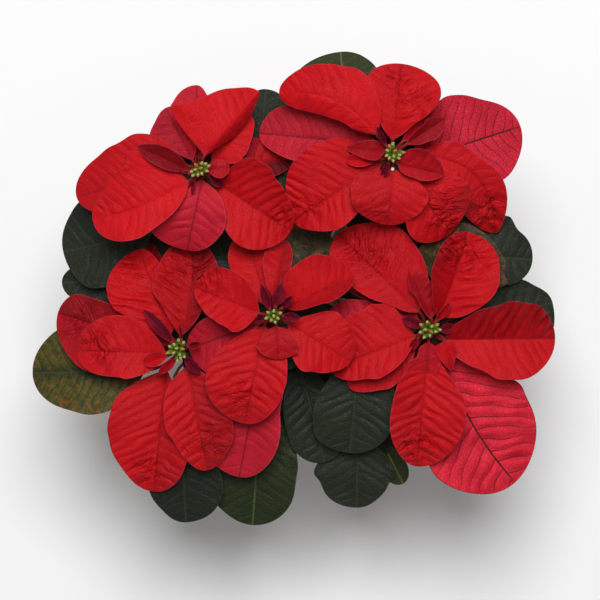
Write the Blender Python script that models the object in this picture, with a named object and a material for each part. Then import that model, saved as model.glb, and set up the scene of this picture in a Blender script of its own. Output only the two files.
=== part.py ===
"""Poinsettia in a plain nursery pot, built piece by piece: pot, soil, branched stem, cyathia, bracts, leaves.

The blades are laid out from a table. Each row gives a blade's base and tip, a few outline points on either
side, and the heights of its midrib, all in millimetres: X to the right, Y to the back, Z up from the foot.
Places in plan are as seen from the eye against the height of the canopy, and in_place() moves them out or in.
"""

import math

import bmesh
import bpy
import numpy as np

MM = 0.001
CLEARANCE = 0.3

# The photograph was taken from about this high above the floor, straight over the middle of the view.
EYE_HEIGHT = 2005.0
CANOPY_HEIGHT = 255.0
VIEW_CENTRE = np.array((0.0, -7.5))

POT_HEIGHT = 130.0
POT_FOOT_RADIUS = 54.0
POT_RIM_RADIUS = 75.0
POT_WALL = 2.2
POT_FLOOR = 3.0
POT_BAND_HEIGHT = 16.0
POT_BAND_STEP = 2.6
POT_BAND_SLOPE = 1.0
POT_BAND_INSIDE_SLOPE = 3.0
POT_SIDES = 32
DRAIN_HOLES = 6
DRAIN_HOLE_RADIUS = 5.0
DRAIN_CIRCLE_RADIUS = 38.0
DRAIN_HOLE_SIDES = 12

SOIL_TOP = 113.0
SOIL_CROWN = 3.0
SOIL_WALL_GAP = 0.6

STEM_RADIUS = 6.0
STEM_BOTTOM = 70.0
STEM_FORK = 150.0
# Heights of the main stem's rings, and its radius there as a share of STEM_RADIUS.
STEM_STATIONS = ((STEM_BOTTOM, 1.0), (110.0, 1.0), (125.0, 0.97), (STEM_FORK - 8, 0.9), (STEM_FORK, 0.6))
# The two inner corners of a shoot's curve: the share of its way out, and of its rise above the fork.
SHOOT_CORNERS = ((0.45, 0.16), (0.96, 0.4))
SHOOT_ROOT_RADIUS = 4.4
SHOOT_TIP_RADIUS = 3.0
SHOOT_SIDES = 8
SHOOT_RINGS = 10

CYATHIA_RADIUS = 7.6
CYATHIA_HEIGHT = 11.0
CYATHIA_LEVELS = (0.0, 0.22, 0.5, 0.78, 0.94)
CYATHIA_FOOT = 0.42
CYATHIA_CUPS = 7
CYATHIA_BULGE = 0.12

BLADE_THICKNESS = 1.0
STALK_RADIUS = 1.2
LONG_STALK = 25.0
STALK_SAG = 3.0
# A stalk leaves its shoot below the blade's base: by half of its reach, and this much more.
STALK_DROP = 3.0
OUTLINE_BLEND = 0.14
NECK_POWER = 0.75
# A blade's margin rises by the lift: this share of it evenly, and the rest with the square of the place.
EVEN_RISE = 0.55
BLADE_STATIONS = (0.04, 0.14, 0.3, 0.46, 0.62, 0.78, 0.9, 0.975)
# A ring's points 0 to 4 run over the blade from edge to edge, and 4 to 8 run back underneath.
UNDERSIDE_STARTS = 4

# Top of each shoot, and the height where it leaves the main stem.
SHOOTS = {
    "rear_left": {"top": (-76, 91, 299), "fork": 140},
    "rear_right": {"top": (69, 103, 299), "fork": 143},
    "centre": {"top": (-20, -19, 286), "fork": 146},
    "front_left": {"top": (-91, -44, 267), "fork": 137},
    "front_right": {"top": (97, -30, 269), "fork": 134},
}


def blade(name, shoot, base, tip, heights, left, right, bow=0, lift=(4, 4), grows_at=None):
    """One row of the table. Left and right are as seen from the base, looking towards the tip."""
    return {
        "name": name,
        "shoot": shoot,
        "base": base,
        "tip": tip,
        "heights": heights,
        "left": left,
        "right": right,
        "bow": bow,
        "lift": lift,
        "grows_at": grows_at,
    }


BLADES = [
    # Rear left head
    blade("rear_left_bract_1", "rear_left", (-84, 82), (-156, 53), (292, 295, 280), bow=4, lift=(5, 8),
         left=[(-95, 58), (-105, 50), (-125, 38), (-137, 37), (-149, 41)],
         right=[(-100, 99), (-120, 103), (-138, 90), (-151, 70)]),
    blade("rear_left_bract_2", "rear_left", (-86, 93), (-168, 70), (284, 286, 264), lift=(3, 5),
         left=[(-100, 70), (-130, 58), (-155, 59)],
         right=[(-100, 112), (-114, 117), (-123, 117), (-140, 110), (-158, 96), (-166, 84)]),
    blade("rear_left_bract_3", "rear_left", (-72, 101), (-31, 149), (293, 297, 284), lift=(6, -17),
         left=[(-90, 118), (-92, 130), (-84, 139), (-71, 146), (-60, 150), (-42, 152)],
         right=[(-62, 107), (-46, 118), (-37, 131), (-32, 143)]),
    blade("rear_left_bract_4", "rear_left", (-81, 98), (-101, 137), (279, 282, 274), lift=(4, 6),
         left=[(-98, 108), (-114, 117), (-107, 130)],
         right=[(-78, 112), (-84, 130)]),
    blade("rear_left_bract_5", "rear_left", (-77, 98), (-78, 154), (271, 270, 262), lift=(3, 3),
         left=[(-92, 112), (-100, 130), (-92, 147)],
         right=[(-66, 115), (-64, 135), (-71, 148)]),
    blade("rear_left_bract_6", "rear_left", (-66, 97), (-37, 131), (275, 278, 268), lift=(3, 3),
         left=[(-66, 112), (-55, 128)],
         right=[(-50, 95), (-41, 102), (-37, 112), (-35, 122)]),
    blade("rear_left_bract_7", "rear_left", (-64, 82), (-7, 45), (279, 283, 273), bow=-1, lift=(24, 4),
         left=[(-52, 98), (-38, 98), (-28, 94), (-15, 80), (-8, 66)],
         right=[(-62, 62), (-57, 45), (-45, 33), (-32, 30), (-14, 34)]),
    blade("rear_left_bract_8", "rear_left", (-74, 83), (-85, 30), (287, 287, 272), lift=(6, 3),
         left=[(-61, 72), (-57, 60), (-57, 46), (-65, 36)],
         right=[(-92, 70), (-105, 58), (-112, 46), (-104, 34)]),
    blade("rear_left_bract_9", "rear_left", (-66, 92), (-6, 98), (259, 256, 247), lift=(2, 2),
         left=[(-50, 107), (-35, 115), (-20, 108)],
         right=[(-50, 84), (-30, 82), (-14, 88)]),
    # Rear right head
    blade("rear_right_bract_1", "rear_right", (57, 117), (-16, 147), (293, 300, 286), bow=-12, lift=(-8, 5),
         left=[(45, 119), (30, 127), (0, 136), (-10, 139)],
         right=[(58, 145), (50, 162), (27, 170), (15, 170), (5, 168), (-12, 157)]),
    blade("rear_right_bract_2", "rear_right", (69, 113), (76, 170), (286, 288, 276), lift=(5, 9),
         left=[(60, 125), (52, 145), (50, 158), (58, 168)],
         right=[(82, 122), (97, 133), (104, 143), (102, 152), (98, 160), (88, 168)]),
    blade("rear_right_bract_3", "rear_right", (84, 97), (163, 122), (256, 256, 245), lift=(3, 3),
         left=[(95, 125), (105, 142), (120, 145), (140, 142), (153, 137)],
         right=[(110, 86), (135, 83), (152, 84), (162, 95), (165, 110)]),
    blade("rear_right_bract_4", "rear_right", (88, 101), (146, 43), (270, 266, 233), bow=20, lift=(2, 6),
         left=[(110, 112), (135, 99), (152, 82), (154, 70), (153, 60), (149, 50)],
         right=[(100, 85), (118, 65), (130, 50)]),
    blade("rear_right_bract_5", "rear_right", (85, 86), (114, 44), (284, 284, 263), bow=-3, lift=(4, 1),
         left=[(105, 90), (120, 84), (127, 78), (128, 65), (124, 52)],
         right=[(82, 70), (78, 55), (82, 42), (90, 34), (103, 38)]),
    blade("rear_right_bract_6", "rear_right", (69, 91), (66, 49), (291, 293, 281), lift=(4, 4),
         left=[(85, 84), (94, 76), (96, 70), (90, 58), (76, 50)],
         right=[(50, 90), (40, 82), (38, 70), (43, 58), (55, 50)]),
    blade("rear_right_bract_7", "rear_right", (73, 95), (107, 87), (296, 298, 293), lift=(11, 4),
         left=[(82, 106), (95, 105), (104, 97)],
         right=[(80, 86), (95, 82), (104, 84)]),
    blade("rear_right_bract_8", "rear_right", (60, 95), (-6, 52), (280, 281, 265), lift=(5, 8),
         left=[(52, 75), (40, 55), (30, 46), (18, 43), (5, 43), (-4, 47)],
         right=[(48, 108), (33, 111), (12, 110), (-5, 97), (-13, 83), (-11, 64)]),
    blade("rear_right_bract_9", "rear_right", (58, 109), (-31, 118), (271, 270, 260), lift=(2, 2),
         left=[(20, 100), (-5, 97), (-22, 105)],
         right=[(30, 128), (0, 137), (-20, 137), (-28, 130)]),
    # Centre head
    blade("centre_bract_1", "centre", (-31, -17), (-79, 2), (280, 282, 274), lift=(9, 10),
         left=[(-40, -28), (-47, -29.5), (-58, -26), (-68, -20), (-78, -7)],
         right=[(-38, 4), (-50, 14), (-60, 17), (-72, 14)]),
    blade("centre_bract_2", "centre", (-26, -11), (-41, 45), (270, 265, 252), lift=(3, 3),
         left=[(-44, 5), (-53, 17), (-54, 32), (-49, 42)],
         right=[(-18, 10), (-18, 28), (-30, 43)]),
    blade("centre_bract_3", "centre", (-20, -5), (-12, 38), (279, 277, 259), lift=(3, 3),
         left=[(-27, 10), (-28, 25)],
         right=[(-10, 8), (-6, 24)]),
    blade("centre_bract_4", "centre", (-11, -13), (40, 11), (280, 285, 275), lift=(9, 10),
         left=[(-12, 10), (-2, 20), (5, 25), (20, 27), (36, 20)],
         right=[(-4, -15), (10, -12), (28, -6), (39, 4)]),
    blade("centre_bract_5", "centre", (-9, -25), (38, -53), (274, 275, 264), lift=(2, 7),
         left=[(5, -19), (22, -15), (37, -25), (41, -38)],
         right=[(-8, -45), (-2, -58), (13, -62), (28, -60)]),
    blade("centre_bract_6", "centre", (-18, -27), (-17, -52), (283, 286, 281), lift=(3, 3),
         left=[(-6, -33), (-2, -42), (-8, -50)],
         right=[(-28, -33), (-33, -42), (-27, -49)]),
    blade("centre_bract_7", "centre", (-27, -27), (-42, -100), (272, 275, 259), lift=(4, 4),
         left=[(-12, -45), (-10, -62), (-14, -80), (-28, -97)],
         right=[(-55, -40), (-68, -52), (-71, -65), (-70, -78), (-58, -94)]),
    blade("centre_bract_8", "centre", (-29, -52), (-46, -140), (247, 246, 227), lift=(3, 3), grows_at=236,
         left=[(-14, -70), (-16, -90), (-15, -108), (-20, -125), (-32, -137)],
         right=[(-60, -80), (-72, -105), (-70, -130), (-58, -139)]),
    blade("centre_bract_9", "centre", (-31, -25), (-84, -44), (264, 262, 248), lift=(2, 2),
         left=[(-50, -50), (-65, -64), (-76, -62), (-82, -54)],
         right=[(-50, -15), (-70, -20), (-83, -32)]),
    # Front left head
    blade("front_left_bract_1", "front_left", (-101, -47), (-168, -45), (259, 262, 249), lift=(4, 6),
         left=[(-108, -58), (-120, -63), (-148, -64), (-161, -59)],
         right=[(-115, -28), (-130, -19), (-140, -19), (-160, -27)]),
    blade("front_left_bract_2", "front_left", (-101, -40), (-182, -17), (248, 250, 235), lift=(2, 6),
         left=[(-120, -58), (-160, -61), (-175, -50), (-181, -34)],
         right=[(-115, -20), (-143, -10), (-157, -6), (-174, -5)]),
    blade("front_left_bract_3", "front_left", (-98, -33), (-121, 31), (255, 257, 246), lift=(4, 4),
         left=[(-125, -22), (-141, -14), (-145, -2), (-144, 10), (-138, 20)],
         right=[(-98, -8), (-101, 10), (-109, 25)]),
    blade("front_left_bract_4", "front_left", (-90, -34), (-82, 40), (261, 262, 249), bow=-4, lift=(5, 5),
         left=[(-100, -18), (-111, -2), (-108, 14), (-100, 30)],
         right=[(-74, -15), (-64, 5), (-60, 15), (-68, 30)]),
    blade("front_left_bract_5", "front_left", (-101, -60), (-110, -151), (244, 243, 224), lift=(8, 5),
         left=[(-92, -80), (-88, -100), (-86, -130), (-96, -147)],
         right=[(-123, -69), (-135, -76), (-143, -95), (-143, -119), (-130, -138)]),
    blade("front_left_bract_6", "front_left", (-85, -57), (-70, -135), (254, 254, 236), lift=(4, 4),
         left=[(-66, -66), (-56, -85), (-50, -105), (-52, -122), (-62, -133)],
         right=[(-97, -68), (-102, -82), (-102, -98), (-92, -120), (-80, -132)]),
    # Front right head
    blade("front_right_bract_1", "front_right", (103, -20), (125, 44), (263, 267, 259), bow=-2, lift=(26, 9),
         left=[(99, -2), (98, 15), (102, 25), (108, 37)],
         right=[(125, -18), (141, -8), (149, 2), (149, 15), (143, 34)]),
    blade("front_right_bract_2", "front_right", (108, -37), (191, -36), (260, 261, 249), lift=(31, 6),
         left=[(118, -24), (140, -13), (165, -9), (185, -17)],
         right=[(113, -47), (130, -58), (155, -66), (172, -63), (187, -50)]),
    blade("front_right_bract_3", "front_right", (107, -50), (160, -143), (242, 239, 224), bow=-6, lift=(3, 2),
         left=[(135, -60), (159, -67), (170, -85), (176, -103), (176, -115), (172, -134)],
         right=[(100, -80), (95, -110), (94, -134), (113, -150), (135, -157), (152, -154)]),
    blade("front_right_bract_4", "front_right", (96, -43), (86, -130), (258, 260, 241), lift=(6, 11),
         left=[(105, -58), (117, -68), (125, -85), (123, -100), (118, -115), (104, -128)],
         right=[(83, -55), (75, -65), (69, -85), (67, -100), (68, -112), (76, -125)]),
    blade("front_right_bract_5", "front_right", (86, -34), (22, -59), (258, 259, 247), lift=(7, 4),
         left=[(78, -52), (65, -63), (42, -67.5), (30, -66)],
         right=[(80, -17), (60, -13), (40, -17), (25, -35)]),
    blade("front_right_bract_6", "front_right", (89, -16), (28, 42), (259, 260, 246), lift=(5, 9),
         left=[(70, -12), (50, -5), (36, 5), (26, 16), (21, 27)],
         right=[(95, 15), (85, 35), (75, 47), (58, 52), (38, 50)]),
    blade("front_right_bract_7", "front_right", (88, -22), (36, 0), (249, 248, 240), lift=(2, 2),
         left=[(78, -22), (60, -15), (46, -6)],
         right=[(80, 0), (60, 15), (45, 12)]),
    # Green leaves
    blade("leaf_1", "rear_left", (-30, 108), (-28, 150), (246, 246, 236), grows_at=225,
         left=[(-44, 125), (-40, 140)], right=[(-14, 122), (-14, 138)]),
    blade("leaf_2", "rear_right", (35, 130), (30, 179), (254, 253, 240), grows_at=235,
         left=[(10, 145), (-6, 158), (2, 169), (14, 176)],
         right=[(58, 145), (62, 158), (56, 168), (44, 177)]),
    blade("leaf_3", "rear_left", (-112, 44), (-178, 32), (240, 238, 222), grows_at=220,
         left=[(-130, 14), (-150, 2), (-165, 7), (-175, 18)],
         right=[(-130, 64), (-150, 68), (-163, 64), (-174, 50)]),
    blade("leaf_4", "front_left", (-117, -60), (-201, -62), (238, 236, 219), grows_at=212,
         left=[(-130, -80), (-142, -90), (-157, -93), (-175, -89), (-194, -79)],
         right=[(-135, -32), (-160, -24), (-180, -28), (-196, -44)]),
    blade("leaf_5", "front_left", (-89, -112), (-86, -174), (222, 219, 203), grows_at=195,
         left=[(-64, -130), (-58, -148), (-62, -160), (-73, -171)],
         right=[(-108, -125), (-115, -145), (-111, -156), (-100, -168)]),
    blade("leaf_6", "centre", (-30, -92), (-36, -176), (213, 209, 192), grows_at=185,
         left=[(-8, -105), (-2, -125), (-4, -145), (-11, -164)],
         right=[(-60, -110), (-75, -135), (-72, -155), (-56, -171)]),
    blade("leaf_7", "centre", (-2, -50), (18, -129), (226, 224, 211), grows_at=200,
         left=[(24, -80), (32, -100), (30, -120)],
         right=[(-12, -78), (-13, -90), (-10, -105), (-3, -118)]),
    blade("leaf_8", "front_right", (44, -48), (37, -122), (238, 237, 223), grows_at=218,
         left=[(66, -66), (72, -85), (68, -105), (56, -118)],
         right=[(20, -68), (11, -85), (10, -100), (18, -116)]),
    blade("leaf_9", "front_right", (43, -108), (42, -163), (206, 204, 191), grows_at=185,
         left=[(62, -122), (72, -136), (69, -150), (57, -161)],
         right=[(20, -122), (11, -132), (17, -149), (28, -160)]),
    blade("leaf_10", "rear_right", (125, 27), (174, 23), (228, 227, 219), grows_at=222,
         left=[(138, 50), (153, 56), (167, 42)],
         right=[(140, 5), (155, 4), (167, 9)]),
    blade("leaf_11", "front_right", (106, 2), (126, 50), (252, 255, 255), grows_at=240, lift=(8, 2),
         left=[(95, 12), (89, 28), (100, 40), (112, 46)],
         right=[(135, 0), (150, 2), (154, 18), (147, 38), (136, 48)]),
    blade("leaf_12", "front_right", (138, -22), (189, -8), (219, 218, 210), grows_at=200,
         left=[(150, 4), (165, 9), (178, 3)],
         right=[(150, -44), (175, -42), (190, -26)]),
]


def in_place(points):
    """Where points lie that are seen at x, y and stand at z: the lower they are, the further out."""
    points = np.asarray(points, float)
    spread = (EYE_HEIGHT - points[..., 2:]) / (EYE_HEIGHT - CANOPY_HEIGHT)
    plan = VIEW_CENTRE + spread * (points[..., :2] - VIEW_CENTRE)
    return np.concatenate([plan, points[..., 2:]], axis=-1)


def midrib(row, t):
    """Plan place, sideways direction and height at t: a chord bowed to its left, through three heights."""
    base = np.array(row["base"], float)
    chord = np.array(row["tip"], float) - base
    across = np.array([-chord[1], chord[0]]) / np.hypot(*chord)
    t = np.asarray(t, float)
    hump = 4 * t * (1 - t)
    plan = base + t[..., None] * chord + (row["bow"] * hump)[..., None] * across
    along = chord + (row["bow"] * 4 * (1 - 2 * t))[..., None] * across
    along = along / np.linalg.norm(along, axis=-1, keepdims=True)
    sideways = np.stack([-along[..., 1], along[..., 0]], axis=-1)
    low, middle, end = row["heights"]
    height = low * (1 - t) * (1 - 2 * t) + middle * hump + end * t * (2 * t - 1)
    return plan, sideways, height


def half_width(row, side, t):
    """Half width of one side: a blade-shaped curve, scaled by a running mean of its outline points."""
    points = np.array(row[side], float)
    fine = np.linspace(0, 1, 201)
    plan, _, _ = midrib(row, fine)
    gaps = np.linalg.norm(points[:, None] - plan[None], axis=2)
    nearest = gaps.argmin(axis=1)
    place = fine[nearest].clip(0.05, 0.95)
    fullness = gaps.min(axis=1) / (place**NECK_POWER * np.sqrt(1 - place))
    t = np.asarray(t, float)
    weight = np.exp(-(((t[..., None] - place) / OUTLINE_BLEND) ** 2)) + 1e-9
    mean = (weight * fullness).sum(axis=-1) / weight.sum(axis=-1)
    return mean * t**NECK_POWER * np.sqrt(1 - t)


def blade_points(row, t, across):
    """Points of the blade at t, for places across it from the left edge, 1, to the right edge, -1."""
    plan, sideways, height = midrib(row, t)
    fine = np.linspace(0, 1, 101)
    points = []
    for place in across:
        side = "left" if place > 0 else "right"
        width = half_width(row, side, t)
        widest = half_width(row, side, fine).max()
        rise = row["lift"][0 if place > 0 else 1] * float(width / widest)
        x, y = plan + place * width * sideways
        z = float(height) + rise * (EVEN_RISE * abs(place) + (1 - EVEN_RISE) * place * place)
        points.append((x, y, z))
    return points


def shoot_point(shoot, u):
    """Centre of a shoot at u, on a cubic curve that leaves the main stem sideways and ends upright."""
    x, y, top = SHOOTS[shoot]["top"]
    fork = SHOOTS[shoot]["fork"]
    inner = [(out * x, out * y, fork + up * (top - fork)) for out, up in SHOOT_CORNERS]
    corners = np.array([(0, 0, fork), *inner, (x, y, top)])
    weights = np.array([(1 - u) ** 3, 3 * u * (1 - u) ** 2, 3 * u * u * (1 - u), u**3])
    return weights @ corners


def shoot_at_height(shoot, z):
    """Centre, direction and radius of a shoot where it passes height z, read between its rings."""
    stations = np.linspace(0, 1, SHOOT_RINGS)
    path = np.array([shoot_point(shoot, u) for u in stations])
    centre = np.array([np.interp(z, path[:, 2], path[:, axis]) for axis in range(3)])
    below = int(np.clip(np.searchsorted(path[:, 2], z) - 1, 0, SHOOT_RINGS - 2))
    along = path[below + 1] - path[below]
    u = float(np.interp(z, path[:, 2], stations))
    radius = SHOOT_ROOT_RADIUS + (SHOOT_TIP_RADIUS - SHOOT_ROOT_RADIUS) * u
    return centre, along / np.linalg.norm(along), radius


def ring_of_eight(centre, sideways, upwards, radius):
    """Eight points round a centre, from the sideways direction over the top and back underneath."""
    turns = [math.tau * k / 8 for k in range(8)]
    return [centre + radius * (math.cos(a) * sideways + math.sin(a) * upwards) for a in turns]


def stalk_rings(row):
    """Rings of the stalk, from its foot against the shoot to where the blade starts."""
    base = np.array((*row["base"], row["heights"][0]), float)
    top = SHOOTS[row["shoot"]]["top"]
    reach = math.dist(row["base"], top[:2])
    grows_at = row["grows_at"] or row["heights"][0] - reach / 2 - STALK_DROP
    core, along, radius = shoot_at_height(row["shoot"], grows_at)
    out = base - core
    out -= (out @ along) * along
    out /= np.linalg.norm(out)
    foot = core + (radius + CLEARANCE) * out
    rings = [ring_of_eight(foot, np.cross(along, out), along, STALK_RADIUS)]
    run = base - foot
    length = np.linalg.norm(run)
    run /= length
    level = np.cross((0, 0, 1), run)
    level /= np.linalg.norm(level)
    if length > LONG_STALK:
        middle = (foot + base) / 2 - np.array((0, 0, STALK_SAG))
        rings.append(ring_of_eight(middle, level, np.cross(run, level), STALK_RADIUS))
    _, sideways, _ = midrib(row, 0)
    sideways = np.array((*sideways, 0))
    rings.append(ring_of_eight(base, sideways, np.array((0, 0, 1.0)), STALK_RADIUS))
    return rings


def blade_rings(row):
    """Rings of the thin blade: five points over its upper side and three under it, down to its edges."""
    rings = []
    for t in BLADE_STATIONS:
        over = np.array(blade_points(row, t, (1, 0.5, 0, -0.5, -1)))
        under = np.array(blade_points(row, t, (-0.5, 0, 0.5)))
        over[1:4, 2] += BLADE_THICKNESS / 2
        under[:, 2] -= BLADE_THICKNESS / 2
        rings.append(np.concatenate([over, under]))
    return rings


def add_object(name, bm, material):
    """Turn a bmesh in millimetres into an object at the origin."""
    bmesh.ops.scale(bm, vec=(MM, MM, MM), verts=bm.verts)
    bmesh.ops.recalc_face_normals(bm, faces=bm.faces)
    mesh = bpy.data.meshes.new(name)
    bm.to_mesh(mesh)
    bm.free()
    mesh.shade_smooth()
    mesh.set_sharp_from_angle(angle=math.radians(50))
    mesh.materials.append(material)
    obj = bpy.data.objects.new(name, mesh)
    bpy.context.scene.collection.objects.link(obj)
    return obj


def loft(bm, rings, tip=None, split_from=None):
    """Skin a row of rings of equally many points, flat at the start and flat or pointed at the end.

    From the place split_from on round a ring, faces split along their other diagonal. That lets the
    underside of a thin blade split along the same lines as its upper side, so the two never cross.
    """
    rows = [[bm.verts.new(point) for point in ring] for ring in rings]
    for near, far in zip(rows, rows[1:]):
        for k in range(len(near)):
            after = (k + 1) % len(near)
            corners = [near[k], near[after], far[after], far[k]]
            if split_from is not None and k >= split_from:
                corners = corners[1:] + corners[:1]
            bm.faces.new(corners)
    bm.faces.new(rows[0][::-1])
    if tip is None:
        bm.faces.new(rows[-1])
        return
    point = bm.verts.new(tip)
    for k in range(len(rows[-1])):
        bm.faces.new((rows[-1][k], rows[-1][(k + 1) % len(rows[-1])], point))


def make_blade(row, material):
    """One bract or leaf: its stalk and blade in one skin."""
    bm = bmesh.new()
    tip = (*row["tip"], row["heights"][2])
    rings = [in_place(ring) for ring in stalk_rings(row) + blade_rings(row)]
    loft(bm, rings, in_place(tip), UNDERSIDE_STARTS)
    add_object(row["name"], bm, material)


def turned(name, profile, sides, material):
    """A closed profile of radius and height, turned round the Z axis. Points on the axis become poles."""
    bm = bmesh.new()
    rows = []
    for radius, z in profile:
        count = sides if radius > 0 else 1
        ring = []
        for k in range(count):
            turn = math.tau * k / sides
            ring.append(bm.verts.new((radius * math.cos(turn), radius * math.sin(turn), z)))
        rows.append(ring)
    for near, far in zip(rows, rows[1:] + rows[:1]):
        for k in range(sides):
            after = (k + 1) % sides
            corners = [near[k % len(near)], near[after % len(near)], far[after % len(far)], far[k % len(far)]]
            corners = list(dict.fromkeys(corners))
            if len(corners) > 2:
                bm.faces.new(corners)
    return add_object(name, bm, material)


def pot_radius(z):
    """Outer radius of the pot's tapered wall at height z."""
    slope = (POT_RIM_RADIUS - POT_BAND_STEP - POT_FOOT_RADIUS) / POT_HEIGHT
    return POT_FOOT_RADIUS + slope * z


def make_pot(material):
    """A tapered plastic pot with a stepped rim band and drain holes through its floor."""
    band = POT_HEIGHT - POT_BAND_HEIGHT
    profile = [
        (0, 0),
        (POT_FOOT_RADIUS, 0),
        (pot_radius(band), band),
        (pot_radius(band) + POT_BAND_STEP, band + POT_BAND_SLOPE),
        (POT_RIM_RADIUS, POT_HEIGHT),
        (POT_RIM_RADIUS - POT_WALL, POT_HEIGHT),
        (pot_radius(band) - POT_WALL + POT_BAND_STEP, band + POT_BAND_INSIDE_SLOPE),
        (pot_radius(band) - POT_WALL, band),
        (pot_radius(POT_FLOOR) - POT_WALL, POT_FLOOR),
        (0, POT_FLOOR),
    ]
    pot = turned("pot", profile, POT_SIDES, material)
    for k in range(DRAIN_HOLES):
        turn = math.tau * k / DRAIN_HOLES
        place = (DRAIN_CIRCLE_RADIUS * math.cos(turn), DRAIN_CIRCLE_RADIUS * math.sin(turn))
        cut_hole(pot, f"drain_cutter_{k + 1}", place)


def cut_hole(pot, name, place):
    """Cut one drain hole down through the floor."""
    bm = bmesh.new()
    bmesh.ops.create_cone(
        bm,
        cap_ends=True,
        segments=DRAIN_HOLE_SIDES,
        radius1=DRAIN_HOLE_RADIUS,
        radius2=DRAIN_HOLE_RADIUS,
        depth=4 * POT_FLOOR,
    )
    bmesh.ops.translate(bm, vec=(*place, 0), verts=bm.verts)
    cutter = add_object(name, bm, pot.data.materials[0])
    hide(cutter)
    boolean = pot.modifiers.new(name, "BOOLEAN")
    boolean.object = cutter


def hide(helper):
    """Keep a helper out of the finished model."""
    helper.hide_render = True
    helper.display_type = "WIRE"


def make_soil(material):
    """The soil fills the pot to below the band, crowned in the middle, with a socket for the stem."""
    socket = STEM_RADIUS + CLEARANCE
    bottom = POT_FLOOR + CLEARANCE
    wall = POT_WALL + SOIL_WALL_GAP
    profile = [
        (0, bottom),
        (pot_radius(bottom) - wall, bottom),
        (pot_radius(SOIL_TOP) - wall, SOIL_TOP),
        (0.5 * POT_FOOT_RADIUS, SOIL_TOP + 0.8 * SOIL_CROWN),
        (socket, SOIL_TOP + SOIL_CROWN),
        (socket, STEM_BOTTOM - CLEARANCE),
        (0, STEM_BOTTOM - CLEARANCE),
    ]
    turned("soil", profile, POT_SIDES, material)


def make_stem(material):
    """The main stem, with the five shoots joined to it in one solid."""
    bm = bmesh.new()
    sideways = np.array((1.0, 0, 0))
    ahead = np.array((0, 1.0, 0))
    rings = []
    for z, share in STEM_STATIONS:
        rings.append(ring_of_eight(np.array((0, 0, z)), sideways, ahead, STEM_RADIUS * share))
    loft(bm, rings)
    stem = add_object("stem", bm, material)
    for shoot in SHOOTS:
        bm = bmesh.new()
        rings = []
        for u in np.linspace(0, 1, SHOOT_RINGS):
            along = shoot_point(shoot, min(1, u + 0.01)) - shoot_point(shoot, max(0, u - 0.01))
            along /= np.linalg.norm(along)
            level = np.cross((0.0, 0.0, 1.0), along)
            if np.linalg.norm(level) < 1e-6:
                level = np.array((1.0, 0, 0))
            level /= np.linalg.norm(level)
            radius = SHOOT_ROOT_RADIUS + (SHOOT_TIP_RADIUS - SHOOT_ROOT_RADIUS) * u
            ring = ring_of_eight(shoot_point(shoot, u), level, np.cross(along, level), radius)
            rings.append(in_place(ring))
        loft(bm, rings)
        helper = add_object(f"{shoot}_shoot_helper", bm, material)
        hide(helper)
        boolean = stem.modifiers.new(shoot, "BOOLEAN")
        boolean.operation = "UNION"
        boolean.object = helper


def make_cyathia(shoot, material):
    """The cluster of cyathia on one shoot: a low dome with a ring of cup-shaped bumps and one on top."""
    x, y, top = SHOOTS[shoot]["top"]
    bm = bmesh.new()
    sides = 2 * CYATHIA_CUPS
    rings = []
    for level in CYATHIA_LEVELS:
        dome = CYATHIA_FOOT + (1 - CYATHIA_FOOT) * math.sin(math.pi * (1 + 3 * level) / 4)
        ring = []
        for k in range(sides):
            turn = math.tau * k / sides
            bulge = 1 + CYATHIA_BULGE * math.cos(CYATHIA_CUPS * turn) * math.sin(math.pi * level)
            radius = CYATHIA_RADIUS * dome * bulge
            z = top + CLEARANCE + CYATHIA_HEIGHT * level
            ring.append((x + radius * math.cos(turn), y + radius * math.sin(turn), z))
        rings.append(in_place(ring))
    loft(bm, rings, in_place((x, y, top + CLEARANCE + CYATHIA_HEIGHT)))
    add_object(f"{shoot}_cyathia", bm, material)


def plain_material(name, colour, roughness):
    """A Principled material of one colour."""
    material = bpy.data.materials.new(name)
    material.use_nodes = True
    shader = material.node_tree.nodes["Principled BSDF"]
    shader.inputs["Base Color"].default_value = (*colour, 1)
    shader.inputs["Roughness"].default_value = roughness
    shader.inputs["Metallic"].default_value = 0
    return material


def clear_scene():
    """Remove whatever the file opened with."""
    for obj in list(bpy.data.objects):
        bpy.data.objects.remove(obj, do_unlink=True)


clear_scene()
bract_red = plain_material("bract red", (0.62, 0.01, 0.02), 0.6)
leaf_green = plain_material("leaf green", (0.03, 0.07, 0.03), 0.5)
stem_green = plain_material("stem green", (0.16, 0.2, 0.08), 0.6)
cup_green = plain_material("cup green", (0.3, 0.4, 0.06), 0.5)
soil_brown = plain_material("soil brown", (0.03, 0.02, 0.015), 0.95)
pot_terracotta = plain_material("pot terracotta", (0.35, 0.12, 0.06), 0.6)

make_pot(pot_terracotta)
make_soil(soil_brown)
make_stem(stem_green)
for shoot_name in SHOOTS:
    make_cyathia(shoot_name, cup_green)
for table_row in BLADES:
    make_blade(table_row, leaf_green if table_row["name"].startswith("leaf") else bract_red)
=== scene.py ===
"""A poinsettia in its nursery pot, seen from straight above, worked out as surfaces in millimetres.

The sections follow the plant as it stands: pot, potting mix, stem and shoots, the five heads with their
bracts and cyathia, and the green leaves. X runs to the right, Y to the back and Z up from the pot's foot.
"""

import math

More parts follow.
